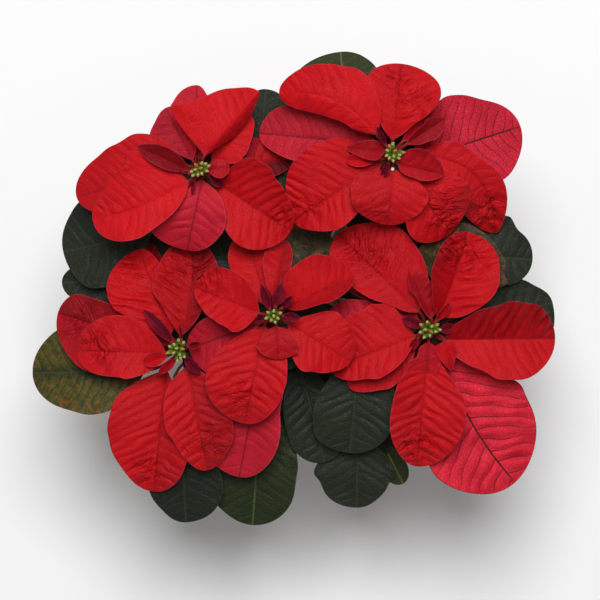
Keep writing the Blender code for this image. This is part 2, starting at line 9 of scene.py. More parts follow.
import bpy
import numpy as np
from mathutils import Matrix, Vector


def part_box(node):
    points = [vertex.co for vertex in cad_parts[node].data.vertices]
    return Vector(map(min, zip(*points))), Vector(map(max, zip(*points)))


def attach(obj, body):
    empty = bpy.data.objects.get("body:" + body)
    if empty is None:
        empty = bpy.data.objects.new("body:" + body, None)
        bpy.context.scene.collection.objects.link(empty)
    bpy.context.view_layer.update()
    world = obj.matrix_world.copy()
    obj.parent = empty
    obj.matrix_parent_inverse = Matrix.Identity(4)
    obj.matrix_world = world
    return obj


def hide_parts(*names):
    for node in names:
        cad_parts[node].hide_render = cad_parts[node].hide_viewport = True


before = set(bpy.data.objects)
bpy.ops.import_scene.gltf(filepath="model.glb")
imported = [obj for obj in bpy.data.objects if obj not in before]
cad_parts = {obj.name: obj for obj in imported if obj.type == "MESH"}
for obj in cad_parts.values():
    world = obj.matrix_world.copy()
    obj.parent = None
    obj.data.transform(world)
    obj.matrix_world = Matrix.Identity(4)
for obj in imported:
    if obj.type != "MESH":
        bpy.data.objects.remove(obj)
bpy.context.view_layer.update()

# Camera
# The plant is looked at from straight above, from two metres over the floor.
MM = 0.001
VIEW_WIDTH = 0.45
CAMERA_DISTANCE = 1.75
CANOPY_HEIGHT = 0.255
VIEW_CENTRE = (-0.0004, -0.0072)


def put_object(name, data):
    """An object that shows this data, in the scene."""
    thing = bpy.data.objects.new(name, data)
    bpy.context.scene.collection.objects.link(thing)
    return thing


camera_data = bpy.data.cameras.new("overhead camera")
camera_data.lens = camera_data.sensor_width * CAMERA_DISTANCE / VIEW_WIDTH
camera_data.clip_end = 50
camera = put_object("overhead camera", camera_data)
camera.location = (*VIEW_CENTRE, CANOPY_HEIGHT + CAMERA_DISTANCE)
bpy.context.scene.camera = camera
bpy.context.scene.view_settings.view_transform = "Standard"

# Light
# One broad soft box high up behind the plant, and an even white room that fills the shadows.
KEY_TOWARDS = (0.0, 0.29, 1.0)
KEY_DISTANCE = 3.0
KEY_SIZE = 1.3
KEY_WATTS = 74.0
ROOM_STRENGTH = 0.27


def unit(vectors):
    """The vectors, scaled to a length of 1."""
    return vectors / np.linalg.norm(vectors, axis=-1, keepdims=True)


key_data = bpy.data.lights.new("soft box", "AREA")
key_data.shape = "DISK"
key_data.size = KEY_SIZE
key_data.energy = KEY_WATTS
key = put_object("soft box", key_data)
key.location = unit(np.array(KEY_TOWARDS)) * KEY_DISTANCE
key.rotation_mode = "QUATERNION"
key.rotation_quaternion = key.location.to_track_quat("Z", "Y")

room = bpy.data.worlds.new("white room")
room.use_nodes = True
walls = room.node_tree.nodes["Background"].inputs
walls["Color"].default_value = (1, 1, 1, 1)
walls["Strength"].default_value = ROOM_STRENGTH
bpy.context.scene.world = room

# Floor
# A wide sheet of smooth white paper, dull, with only a trace of unevenness.
FLOOR_HALF = 3.0


def linear(code):
    """Linear RGBA of an sRGB hex colour: c / 12.92 up to 0.04045, above it ((c + 0.055) / 1.055) ** 2.4."""
    channels = np.array([int(code[k : k + 2], 16) for k in (1, 3, 5)]) / 255
    high = ((channels + 0.055) / 1.055) ** 2.4
    return (*np.where(channels <= 0.04045, channels / 12.92, high).tolist(), 1.0)


def add_node(tree, kind, settings=None, inputs=None):
    """Add a node with its settings, and with inputs that are plain values or the sockets that feed them."""
    node = tree.nodes.new(kind)
    for setting, value in (settings or {}).items():
        setattr(node, setting, value)
    for socket, value in (inputs or {}).items():
        if isinstance(value, bpy.types.NodeSocket):
            tree.links.new(value, node.inputs[socket])
        else:
            node.inputs[socket].default_value = value
    return node


def new_material(name, values):
    """A material with nodes, whose shader holds these values."""
    material = bpy.data.materials.new(name)
    material.use_nodes = True
    for socket, value in values.items():
        material.node_tree.nodes["Principled BSDF"].inputs[socket].default_value = value
    return material


def dress(material, colour, normal=None):
    """The material, once a colour and perhaps a normal feed its shader."""
    shader = material.node_tree.nodes["Principled BSDF"]
    material.node_tree.links.new(colour, shader.inputs["Base Color"])
    if normal is not None:
        material.node_tree.links.new(normal, shader.inputs["Normal"])
    return material


def own_place(material):
    """Socket of each point's place on the object, in metres."""
    return add_node(material.node_tree, "ShaderNodeTexCoord").outputs["Object"]


def blend(share, first, second):
    """Colour socket that goes from first to second, hex colours or sockets, as share goes from 0 to 1."""
    first, second = (linear(colour) if isinstance(colour, str) else colour for colour in (first, second))
    inputs = {0: share, 6: first, 7: second}
    return add_node(share.id_data, "ShaderNodeMix", {"data_type": "RGBA"}, inputs).outputs[2]


def patches(place, size, detail=2.0):
    """Noise socket on places in metres, with patches of about size millimetres."""
    inputs = {"Vector": place, "Scale": 1 / (size * MM), "Detail": detail}
    return add_node(place.id_data, "ShaderNodeTexNoise", {}, inputs).outputs["Fac"]


def paper_white():
    """Matt coated paper: an almost even white with no gloss that the eye would catch."""
    material = new_material("matt white paper", {"Roughness": 0.9, "Specular IOR Level": 0.1})
    return dress(material, blend(patches(own_place(material), 400), "#F7F7F8", "#F9F9F9"))


def put_mesh(name, points, quads, triangles, material):
    """An object whose mesh holds these points, in millimetres, and these quads and triangles."""
    mesh = bpy.data.meshes.new(name)
    corners = np.concatenate([quads.ravel(), triangles.ravel()]).astype(np.int32)
    triangle_starts = 4 * len(quads) + 3 * np.arange(len(triangles))
    starts = np.concatenate([4 * np.arange(len(quads)), triangle_starts]).astype(np.int32)
    mesh.vertices.add(len(points))
    mesh.vertices.foreach_set("co", (np.asarray(points) * MM).astype(np.float32).ravel())
    mesh.loops.add(len(corners))
    mesh.loops.foreach_set("vertex_index", corners)
    mesh.polygons.add(len(starts))
    mesh.polygons.foreach_set("loop_start", starts)
    mesh.update(calc_edges=True)
    mesh.validate()
    mesh.shade_smooth()
    mesh.materials.append(material)
    return put_object(name, mesh)


floor_corners = np.array([(-1, -1, 0), (1, -1, 0), (1, 1, 0), (-1, 1, 0)]) * FLOOR_HALF / MM
floor_quad, no_triangles = np.array([[0, 1, 2, 3]]), np.empty((0, 3), int)
floor = put_mesh("paper_floor", floor_corners, floor_quad, no_triangles, paper_white())

# Pot
# A nursery pot of thin polypropylene, injection moulded in one piece: a tapered wall, a stepped band round
# the rim that stiffens it, a floor raised a little on its foot, and six drain holes.
pot_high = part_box("pot")[1] / MM
POT_HEIGHT = pot_high.z
POT_RIM_RADIUS = pot_high.x
POT_FOOT_RADIUS = 54.0
POT_WALL = 1.6
POT_FLOOR = 3.0
POT_BAND_HEIGHT = 16.0
POT_BAND_STEP = 2.6
POT_SIDES = 128
DRAIN_HOLES = 6
DRAIN_HOLE_RADIUS = 5.0
DRAIN_CIRCLE_RADIUS = 38.0
DRILL_PAST = 2.0
DRILL_SIDES = 32
POT_EDGE_RADIUS = 0.9
POT_SHARP_DEGREES = 40


def pot_radius(z):
    """Outer radius of the tapered wall: the foot's radius plus the slope times the height."""
    slope = (POT_RIM_RADIUS - POT_BAND_STEP - POT_FOOT_RADIUS) / POT_HEIGHT
    return POT_FOOT_RADIUS + slope * z


def eased(profile, radius, steps=5):
    """The profile with each inner corner replaced by a quadratic curve from at most radius before it."""
    profile = np.array(profile, float)
    before = profile[:-2] - profile[1:-1]
    after = profile[2:] - profile[1:-1]
    reach = np.minimum(np.linalg.norm(before, axis=1), np.linalg.norm(after, axis=1)) * 0.45
    reach = np.minimum(reach, radius)[:, None]
    start = profile[1:-1] + unit(before) * reach
    end = profile[1:-1] + unit(after) * reach
    t = np.linspace(0, 1, steps)[None, :, None]
    bends = (1 - t) ** 2 * start[:, None] + 2 * t * (1 - t) * profile[1:-1, None] + t**2 * end[:, None]
    return np.concatenate([profile[:1], bends.reshape(-1, 2), profile[-1:]])


def all_round(sides):
    """Angles of so many even steps round a circle."""
    return np.linspace(0, math.tau, sides, endpoint=False)


def turned_rings(profile, sides):
    """Rings of a profile of radius and height turned round Z: x = r cos a, y = r sin a."""
    turn = all_round(sides)
    radius = profile[:, 0, None]
    height = np.repeat(profile[:, 1, None], sides, axis=1)
    return np.stack([radius * np.cos(turn), radius * np.sin(turn), height], axis=-1)


def skin(rings, start, end):
    """Points and faces of a closed tube: quads between neighbouring rings, and a fan at each end."""
    rows, count, _ = rings.shape
    index = np.arange(rows * count).reshape(rows, count)
    after = np.roll(index, -1, axis=1)
    quads = np.stack([index[:-1], after[:-1], after[1:], index[1:]], axis=-1).reshape(-1, 4)
    foot = np.stack([np.full(count, rows * count), after[0], index[0]], axis=-1)
    head = np.stack([np.full(count, rows * count + 1), index[-1], after[-1]], axis=-1)
    points = np.concatenate([rings.reshape(-1, 3), [start], [end]])
    return points, quads, np.concatenate([foot, head])


def stand_for(piece, slot, *nodes):
    """The piece rides on the plant's one body and shows instead of the nodes; its slot is not used."""
    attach(piece, "root")
    if nodes:
        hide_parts(*nodes)


def remap(value, low, high, out_low=0.0, out_high=1.0):
    """Socket that eases from out_low to out_high as value goes from low to high."""
    inputs = {"Value": value, 1: low, 2: high, 3: out_low, 4: out_high}
    settings = {"interpolation_type": "SMOOTHSTEP"}
    return add_node(value.id_data, "ShaderNodeMapRange", settings, inputs).outputs["Result"]


def calculate(operation, *values):
    """Socket that holds the result of an operation on a socket and further values."""
    settings, inputs = {"operation": operation}, dict(enumerate(values))
    return add_node(values[0].id_data, "ShaderNodeMath", settings, inputs).outputs[0]


def times(first, second):
    """Socket that holds the product of a socket and another value."""
    return calculate("MULTIPLY", first, second)


def bumped(height, strength, distance, normal=None, sunk=False):
    """Socket of a normal tilted by a height of so many metres, which rises, or sinks if it is sunk."""
    inputs = {"Strength": strength, "Distance": distance, "Height": height}
    if normal is not None:
        inputs["Normal"] = normal
    return add_node(height.id_data, "ShaderNodeBump", {"invert": sunk}, inputs).outputs[0]


def drawn_out(place, share):
    """Socket of the place with its height scaled down to this share, which draws patterns out upwards."""
    inputs = {"Vector": place, "Scale": (1, 1, share)}
    return add_node(place.id_data, "ShaderNodeMapping", {}, inputs).outputs[0]


def moulded_polypropylene():
    """Injection moulded polypropylene: a dull sheen, flow marks down the wall and a little dried splash."""
    material = new_material("moulded polypropylene, terracotta brown", {"Roughness": 0.48, "IOR": 1.49})
    place = own_place(material)
    flow = patches(drawn_out(place, 0.12), 9, 3)
    splash = remap(patches(place, 5, 6), 0.6, 0.72)
    colour = blend(flow, "#8A4630", "#97503A")
    colour = blend(times(splash, 0.35), colour, "#6E5343")
    return dress(material, colour, bumped(patches(place, 0.5), 0.35, 0.0001))


band = POT_HEIGHT - POT_BAND_HEIGHT
pot_profile = [
    (0, 1.2),
    (POT_FOOT_RADIUS - 7, 1.2),
    (POT_FOOT_RADIUS - 6, 0),
    (POT_FOOT_RADIUS, 0),
    (pot_radius(30), 30),
    (pot_radius(75), 75),
    (pot_radius(band), band),
    (pot_radius(band) + POT_BAND_STEP, band + 1),
    (POT_RIM_RADIUS - 0.8, POT_HEIGHT - 2.6),
    (POT_RIM_RADIUS, POT_HEIGHT - 2.2),
    (POT_RIM_RADIUS, POT_HEIGHT),
    (POT_RIM_RADIUS - POT_WALL - 0.6, POT_HEIGHT),
    (pot_radius(band) - POT_WALL + POT_BAND_STEP, band + 3),
    (pot_radius(band) - POT_WALL, band),
    (pot_radius(POT_FLOOR) - POT_WALL, POT_FLOOR),
    (0, POT_FLOOR),
]
pot_lines = eased(pot_profile, POT_EDGE_RADIUS)
pot_skin = skin(turned_rings(pot_lines[1:-1], POT_SIDES), (0, 0, pot_lines[0][1]), (0, 0, POT_FLOOR))
solid_pot = put_mesh("solid_pot", *pot_skin, moulded_polypropylene())
drills = []
for k in range(DRAIN_HOLES):
    turn = math.tau * k / DRAIN_HOLES
    drill_line = np.array([(DRAIN_HOLE_RADIUS, -DRILL_PAST), (DRAIN_HOLE_RADIUS, POT_FLOOR + DRILL_PAST)])
    centre = np.array([math.cos(turn), math.sin(turn), 0]) * DRAIN_CIRCLE_RADIUS
    drill_ends = centre + (0, 0, -DRILL_PAST), centre + (0, 0, POT_FLOOR + DRILL_PAST)
    drill_mesh = skin(turned_rings(drill_line, DRILL_SIDES) + centre, *drill_ends)
    drill = put_mesh(f"drill_{k + 1}", *drill_mesh, solid_pot.data.materials[0])
    boolean = solid_pot.modifiers.new(drill.name, "BOOLEAN")
    boolean.operation = "DIFFERENCE"
    boolean.object = drill
    drills.append(drill)
drilled = solid_pot.evaluated_get(bpy.context.evaluated_depsgraph_get())
pot_mesh = bpy.data.meshes.new_from_object(drilled)
pot_mesh.set_sharp_from_angle(angle=math.radians(POT_SHARP_DEGREES))
pot = put_object("pot_shell", pot_mesh)
for helper in [*drills, solid_pot]:
    bpy.data.objects.remove(helper, do_unlink=True)
stand_for(pot, "pot", "pot")

# Potting mix
# Peat, crumbled bark and a few white grains of perlite, filled to below the rim band and pressed lightly
# towards the stem. It is one closed lump with a socket for the stem, and loose crumbs lie on it.
SOIL_TOP = 113.0
SOIL_CROWN = 3.0
STEM_RADIUS = 6.0
STEM_BOTTOM = 70.0
SOCKET_RADIUS = STEM_RADIUS + 0.5
SOIL_SIDES = 144
SOIL_RINGS = 46
SOIL_GAP = 0.4
SOIL_TOP_GAP = 0.6
SOIL_FOOT_GAP = 0.8
CRUMBS = 150
CRUMBS_FROM_STEM = 10.0
CRUMBS_FROM_WALL = 3.0
CRUMB_SIZES = (0.7, 2.6)
CRUMB_SHAPE = (1, 0.8, 0.5)
CRUMB_DENTS = 0.22
GOLDEN_TURN = math.pi * (3 - math.sqrt(5))


def ripple(x, y, wavelength, seed):
    """Sum of seven plane waves of about this length, turned by golden angles; it stays near -1 to 1."""
    k = np.arange(7)
    turn = k * GOLDEN_TURN + seed
    length = wavelength * (0.8 + 0.08 * k)
    run = x[..., None] * np.cos(turn) + y[..., None] * np.sin(turn)
    return np.sin(math.tau * run / length + seed * (k + 1) * 1.7).sum(axis=-1) / 3.5


def peat():
    """Moist peat with bark: nearly black brown, matt, with fibres and crumbs of other browns."""
    material = new_material("moist peat", {"Roughness": 0.92})
    place = own_place(material)
    crumbs = patches(place, 2.2, 4)
    fibre = remap(patches(place, 0.9, 3), 0.58, 0.7)
    colour = blend(crumbs, "#1E1510", "#46362A")
    colour = blend(times(fibre, 0.5), colour, "#6B5439")
    return dress(material, colour, bumped(crumbs, 0.8, 0.0008))


def stored(material, name):
    """Socket of the number that each point stores under this name."""
    return add_node(material.node_tree, "ShaderNodeAttribute", {"attribute_name": name}).outputs["Fac"]


def crumb_material():
    """Bark chips and perlite told apart by the pale attribute: brown and fibrous, or chalky white."""
    material = new_material("bark and perlite", {"Roughness": 0.85})
    grain = patches(own_place(material), 0.8, 4)
    bark = blend(grain, "#2A1C13", "#6A4A30")
    chalk = blend(grain, "#CFC9BC", "#EEEAE0")
    colour = blend(stored(material, "pale"), bark, chalk)
    return dress(material, colour, bumped(grain, 0.6, 0.0003))


def soil_height(x, y):
    """Height: a crown that falls off with the radius squared, plus ripples of 18, 6 and 2.4 mm."""
    radius = np.hypot(x, y)
    crown = SOIL_TOP + SOIL_CROWN * (1 - (radius / pot_radius(SOIL_TOP)) ** 2)
    rough = 0.8 * ripple(x, y, 18, 1.3) + 0.7 * ripple(x, y, 6, 2.1) + 0.35 * ripple(x, y, 2.4, 4.2)
    return crown + rough


wall_line = pot_radius(SOIL_TOP) - POT_WALL - SOIL_TOP_GAP
top_radii = np.linspace(wall_line, SOCKET_RADIUS, SOIL_RINGS)
top_rings = turned_rings(np.stack([top_radii, 0 * top_radii], axis=1), SOIL_SIDES)
top_rings[..., 2] = soil_height(top_rings[..., 0], top_rings[..., 1])
bottom = POT_FLOOR + SOIL_GAP
socket_floor = STEM_BOTTOM - SOIL_GAP
foot_radius = pot_radius(bottom) - POT_WALL - SOIL_FOOT_GAP
side_rings = turned_rings(np.array([(0.5 * POT_FOOT_RADIUS, bottom), (foot_radius, bottom)]), SOIL_SIDES)
socket_line = np.array([(SOCKET_RADIUS, socket_floor), (SOIL_GAP, socket_floor)])
socket_rings = turned_rings(socket_line, SOIL_SIDES)
soil_rings = np.concatenate([side_rings, top_rings, socket_rings])
soil = put_mesh("potting_mix", *skin(soil_rings, (0, 0, bottom), (0, 0, socket_floor)), peat())
stand_for(soil, "soil", "soil")


def gather(parts):
    """Join closed shapes, each of points, quads and triangles, into one."""
    starts = np.cumsum([0] + [len(points) for points, _, _ in parts])
    points = np.concatenate([part[0] for part in parts])
    faces = [np.concatenate([part[k] + start for part, start in zip(parts, starts)]) for k in (1, 2)]
    return points, *faces


def ball(sides, levels):
    """Rings of a ball of radius 1: height -cos b, and distance from the axis sin b."""
    b = np.linspace(0, math.pi, levels + 2)[1:-1]
    return turned_rings(np.stack([np.sin(b), -np.cos(b)], axis=1), sides)


chance = np.random.default_rng(12)
lump = ball(8, 5)
crumb_parts, crumb_pale = [], []
strewn = wall_line - CRUMBS_FROM_STEM - CRUMBS_FROM_WALL
for k in range(CRUMBS):
    away = CRUMBS_FROM_STEM + strewn * math.sqrt((k + 0.5) / CRUMBS)
    x, y = away * math.cos(k * GOLDEN_TURN), away * math.sin(k * GOLDEN_TURN)
    sides = chance.uniform(*CRUMB_SIZES, 3) * CRUMB_SHAPE
    dents = 1 + CRUMB_DENTS * chance.standard_normal(lump.shape[:2])[..., None]
    turn = chance.uniform(0, math.tau)
    spin = np.array([(math.cos(turn), math.sin(turn), 0), (-math.sin(turn), math.cos(turn), 0), (0, 0, 1)])
    place = np.array([x, y, float(soil_height(np.array(x), np.array(y))) + 0.3 * sides[2]])
    rings = (lump * dents * sides) @ spin + place
    crumb_parts.append(skin(rings, place - (0, 0, sides[2]), place + (0, 0, sides[2])))
    crumb_pale.append(np.full(len(crumb_parts[-1][0]), float(k % 4 == 0)))
crumbs = put_mesh("bark_and_perlite", *gather(crumb_parts), crumb_material())


def give(piece, name, values):
    """Store one number for each point of the piece, for its material to read."""
    layer = piece.data.attributes.new(name, "FLOAT", "POINT")
    layer.data.foreach_set("value", np.asarray(values, np.float32).ravel())


give(crumbs, "pale", np.concatenate(crumb_pale))
stand_for(crumbs, "soil")

# Stem and shoots
# The main stem has turned to bark and forks just above the pot into five shoots, one for each head. Each
# leaf that stood on a shoot has left a node: a slight swelling with a pale crescent scar.
STEM_FORK = 150.0
MAIN_ROWS = 70
MAIN_NODES = [(0.55, 0.4), (0.68, 2.9), (0.8, 5.1)]
SHOOT_ROOT_RADIUS = 4.4
SHOOT_TIP_RADIUS = 3.0
SHOOT_SIDES = 24
SHOOT_ROWS = 96
SHOOT_CORNERS = ((0, 0), (0.45, 0.16), (0.96, 0.4), (1, 1))
SHOOT_END = np.array([0.98, 0.93, 0.82, 0.6])
SHOOT_NODES = 10
FIRST_NODE, NODE_STEP = 0.12, 0.085
NODE_LENGTH, NODE_ARC = 0.018, 0.7
SCAR_LENGTH, SCAR_RISE = 0.008, 0.004
SHOOTS = {
    "rear_left": {"top": (-76, 91, 299), "fork": 140},
    "rear_right": {"top": (69, 103, 299), "fork": 143},
    "centre": {"top": (-20, -19, 286), "fork": 146},
    "front_left": {"top": (-91, -44, 267), "fork": 137},
    "front_right": {"top": (97, -30, 269), "fork": 134},
}


def in_place(points):
    """Where points lie that the camera sees at x, y against the canopy's height and that stand at z.

    The lower they are, the further out they lie: the scale is (eye - z) / (eye - canopy).
    """
    points = np.asarray(points, float)
    eye = (CANOPY_HEIGHT + CAMERA_DISTANCE) / MM
    spread = (eye - points[..., 2:]) / (CAMERA_DISTANCE / MM)
    centre = np.array(VIEW_CENTRE) / MM
    return np.concatenate([centre + spread * (points[..., :2] - centre), points[..., 2:]], axis=-1)


def cubic(corners, u):
    """Points at u on the cubic curve of four corners, weighted (1-u)^3, 3u(1-u)^2, 3u^2(1-u) and u^3."""
    u = np.asarray(u, float)[..., None]
    weights = np.concatenate([(1 - u) ** 3, 3 * u * (1 - u) ** 2, 3 * u**2 * (1 - u), u**3], axis=-1)
    return weights @ corners


def shoot_path(shoot, u):
    """Centre line of a shoot: a cubic curve that leaves the main stem sideways and ends upright."""
    x, y, top = SHOOTS[shoot]["top"]
    fork = SHOOTS[shoot]["fork"]
    corners = [(out * x, out * y, fork + up * (top - fork)) for out, up in SHOOT_CORNERS]
    return in_place(cubic(np.array(corners), u))


def shoot_radius(u):
    """The shoot tapers evenly from its root to its tip."""
    return SHOOT_ROOT_RADIUS + (SHOOT_TIP_RADIUS - SHOOT_ROOT_RADIUS) * u


def swept(path, sideways, radius, sides):
    """Rings round a path: centre + radius (cos a sideways + sin a upwards), upwards square to the path."""
    upwards = unit(np.cross(unit(np.gradient(path, axis=0)), sideways))
    turn = all_round(sides)[None, :, None]
    round_part = np.cos(turn) * sideways[:, None] + np.sin(turn) * upwards[:, None]
    return path[:, None] + radius[..., None] * round_part


def stem_bark():
    """Young bark: grey brown and cracked lengthwise at the foot, green and flushed brown further up."""
    material = new_material("young bark and green shoot", {"Roughness": 0.62})
    place = own_place(material)
    cracks = patches(drawn_out(place, 0.2), 1.6, 4)
    green = blend(patches(place, 14, 2), "#5E7038", "#7C5A3C")
    bark = blend(cracks, "#5C4A38", "#8C7A60")
    colour = blend(stored(material, "age"), green, bark)
    colour = blend(stored(material, "scar"), colour, "#B3A27C")
    return dress(material, colour, bumped(cracks, 0.5, 0.0003))


def knobbly(rings_u, radius, nodes_at, sides):
    """Radius of a ribbed tube, and its scars: a node swells by 0.1, or by 0.24 where its leaf stood."""
    turn = all_round(sides)
    swell = np.zeros((len(rings_u), sides))
    scar = np.zeros((len(rings_u), sides))
    for place, facing in nodes_at:
        near = np.exp(-(((rings_u - place) / NODE_LENGTH) ** 2))[:, None]
        towards = np.exp(-((np.angle(np.exp(1j * (turn - facing))) / NODE_ARC) ** 2))[None, :]
        swell += near * (0.1 + 0.14 * towards)
        scar += np.exp(-(((rings_u - place - SCAR_RISE) / SCAR_LENGTH) ** 2))[:, None] * towards
    ribs = 0.02 * np.cos(5 * turn + 6 * rings_u[:, None])
    return radius[:, None] * (1 + swell + ribs), np.clip(scar, 0, 1)


stem_parts, stem_age, stem_scar = [], [], []


def add_tube(path, sideways, radius, nodes_at, age):
    """Add one closed tube, with its swellings, to the parts of the stem."""
    u = np.linspace(0, 1, len(path))
    width, scar = knobbly(u, radius, nodes_at, SHOOT_SIDES)
    rings = swept(path, sideways, width, SHOOT_SIDES)
    stem_parts.append(skin(rings, path[0], path[-1]))
    stem_age.append(np.append(np.repeat(age, SHOOT_SIDES), [age[0], age[-1]]))
    stem_scar.append(np.append(scar.ravel(), [0, 0]))


main_u = np.linspace(0, 1, MAIN_ROWS)
main_path = np.stack([0 * main_u, 0 * main_u, STEM_BOTTOM + (STEM_FORK + 3 - STEM_BOTTOM) * main_u], axis=1)
main_radius = STEM_RADIUS * (1 - 0.12 * main_u) * np.sqrt(np.clip((1.04 - main_u) / 0.16, 0, 1))
main_sideways = np.tile((1.0, 0, 0), (MAIN_ROWS, 1))
add_tube(main_path, main_sideways, main_radius, MAIN_NODES, np.ones(MAIN_ROWS))
for number, shoot in enumerate(SHOOTS):
    u = np.linspace(0, 1, SHOOT_ROWS)
    x, y, _ = SHOOTS[shoot]["top"]
    level = np.array([-y, x, 0]) / math.hypot(x, y)
    radius = shoot_radius(u)
    radius[-len(SHOOT_END) :] *= SHOOT_END
    nodes_at = [(FIRST_NODE + NODE_STEP * k, k * GOLDEN_TURN + number) for k in range(SHOOT_NODES)]
    age = np.clip(0.9 - 2.2 * u, 0, 1)
    add_tube(shoot_path(shoot, u), np.tile(level, (SHOOT_ROWS, 1)), radius, nodes_at, age)
stem = put_mesh("stem_and_shoots", *gather(stem_parts), stem_bark())
give(stem, "age", np.concatenate(stem_age))
give(stem, "scar", np.concatenate(stem_scar))
stand_for(stem, "stem", "stem")

# Bracts of the rear left head
# Bracts are coloured leaves: thin velvety blades on short stalks, grown round the head's cyathia. Veins
# leave the midrib at about 60 degrees and sink into the upper side, and the blade puffs up between them.
VEIN_SPACING = 7.4
VEIN_SLANT = 0.42
VEIN_CURVE = 0.006
OUTLINE_BLEND = 0.14
BLADE_ROWS = 90
FEWEST_ROWS = 24
ROWS_PER_MM, PLAIN_ROWS_PER_MM = 1.25, 0.8
ROW_GATHERING = 1.35
BLADE_HALF = 13
PLAIN_HALF = 8
STALK_ROWS = 7
STALK_RADIUS = 1.15
STALK_BLEND = 0.06
STALK_FOOT = 0.85
STALK_MAP_START = -20
BLADE_SKEW = 0.16
BLADE_THICKNESS = 0.45
SHARE_OVER = 0.35
RIB_DEPTH = 0.8
RIB_WIDTH = 0.9
GROOVE_DEPTH = 0.55
GROOVE_WIDTH = 1.1
SLOW_WAVES, QUICK_WAVES = 1.7, 4.3
UV_SCALE = 0.01
NET_CELL = 2.4
FACTS = ("vein", "rib", "rim", "stalk", "pucker", "under", "deep")
STALK_FACTS = {"stalk": 1.0, "vein": 0.5, "rim": 9.0}
UNDER_REACHES = (4.5, 42)
UNDER_WIDTH = 9.5
UNDER_LOOKS = ("leaf", "leaf", "maroon")
UNDER_STEP = 3
# Painted shade: a row can darken the colour of its left and right halves, by a share from 0 to 1, to stand
# for the shadow and fold shading that fall on them.
BLADE_DEFAULTS = dict(
    bow=0, lift=4, look="scarlet", pleat=0.3, wave=1.0, crumples=(), taper=0.5, neck=0.75, deep=0,
    gap=VEIN_SPACING, grows_at=None,
)


def blade(base, tip, heights, left, right, **more):
    """One row: outline points, x and y in turn, left and right of the midrib, looking from base to tip."""
    return dict(BLADE_DEFAULTS, base=base, tip=tip, heights=heights, left=left, right=right, **more)


def small_blade(base, tip, heights, widths, **more):
    """A row for a small blade: its half width, or those of left and right, in the middle of its chord."""
    start, end = np.array(base, float), np.array(tip, float)
    across = np.array([start[1] - end[1], end[0] - start[0]]) / math.dist(base, tip)
    middle = (start + end) / 2
    left, right = np.broadcast_to(widths, 2)
    return blade(base, tip, heights, middle + left * across, middle - right * across, **more)


def bud(base, tip, heights, widths, taper, look="maroon", **more):
    """A row for a small bract that opens at the middle of a head."""
    return small_blade(base, tip, heights, widths, taper=taper, look=look, **more)


def eased_step(value, low, high):
    """Smooth step from 0 at low to 1 at high: 3 v^2 - 2 v^3."""
    v = np.clip((value - low) / (high - low), 0, 1)
    return v * v * (3 - 2 * v)


def midrib(row, t):
    """Plan place, sideways direction and height at t: a chord bowed to its left, through three heights."""
    base = np.array(row["base"], float)
    chord = np.array(row["tip"], float) - base
    across = np.array([-chord[1], chord[0]]) / np.hypot(*chord)
    hump = 4 * t * (1 - t)
    plan = base + t[..., None] * chord + (row["bow"] * hump)[..., None] * across
    along = unit(chord + (row["bow"] * 4 * (1 - 2 * t))[..., None] * across)
    sideways = np.stack([-along[..., 1], along[..., 0]], axis=-1)
    low, middle, end = row["heights"]
    height = low * (1 - t) * (1 - 2 * t) + middle * hump + end * t * (2 * t - 1)
    return plan, sideways, height


def half_width(row, side, t):
    """Half width of one side: t^neck (1 - t)^taper, scaled by a running mean of the outline points."""
    points = np.array(row[side], float).reshape(-1, 2)
    fine = np.linspace(0, 1, 201)
    plan, _, _ = midrib(row, fine)
    gaps = np.linalg.norm(points[:, None] - plan[None], axis=2)
    place = fine[gaps.argmin(axis=1)].clip(0.05, 0.95)
    fullness = gaps.min(axis=1) / (place ** row["neck"] * (1 - place) ** row["taper"])
    weight = np.exp(-(((t[..., None] - place) / OUTLINE_BLEND) ** 2)) + 1e-9
    mean = (weight * fullness).sum(axis=-1) / weight.sum(axis=-1)
    return mean * t ** row["neck"] * (1 - t) ** row["taper"]


def crumple(x, y, spot):
    """A pinch in the blade, with folds that run out from it like the spokes of a wheel.

    At r times its reach from its centre, in direction a, it is as high as depth times
    1.5 r exp(0.5 - r^2) cos(folds a + turn + 0.8 r) - exp(-(r / 0.45)^2).
    """
    centre_x, centre_y, reach, depth, folds, turn = spot
    away = np.hypot(x - centre_x, y - centre_y) / reach
    angle = np.arctan2(y - centre_y, x - centre_x)
    spokes = away * np.exp(0.5 - away**2) * np.cos(folds * angle + turn + 0.8 * away)
    return depth * (1.5 * spokes - np.exp(-((away / 0.45) ** 2)))


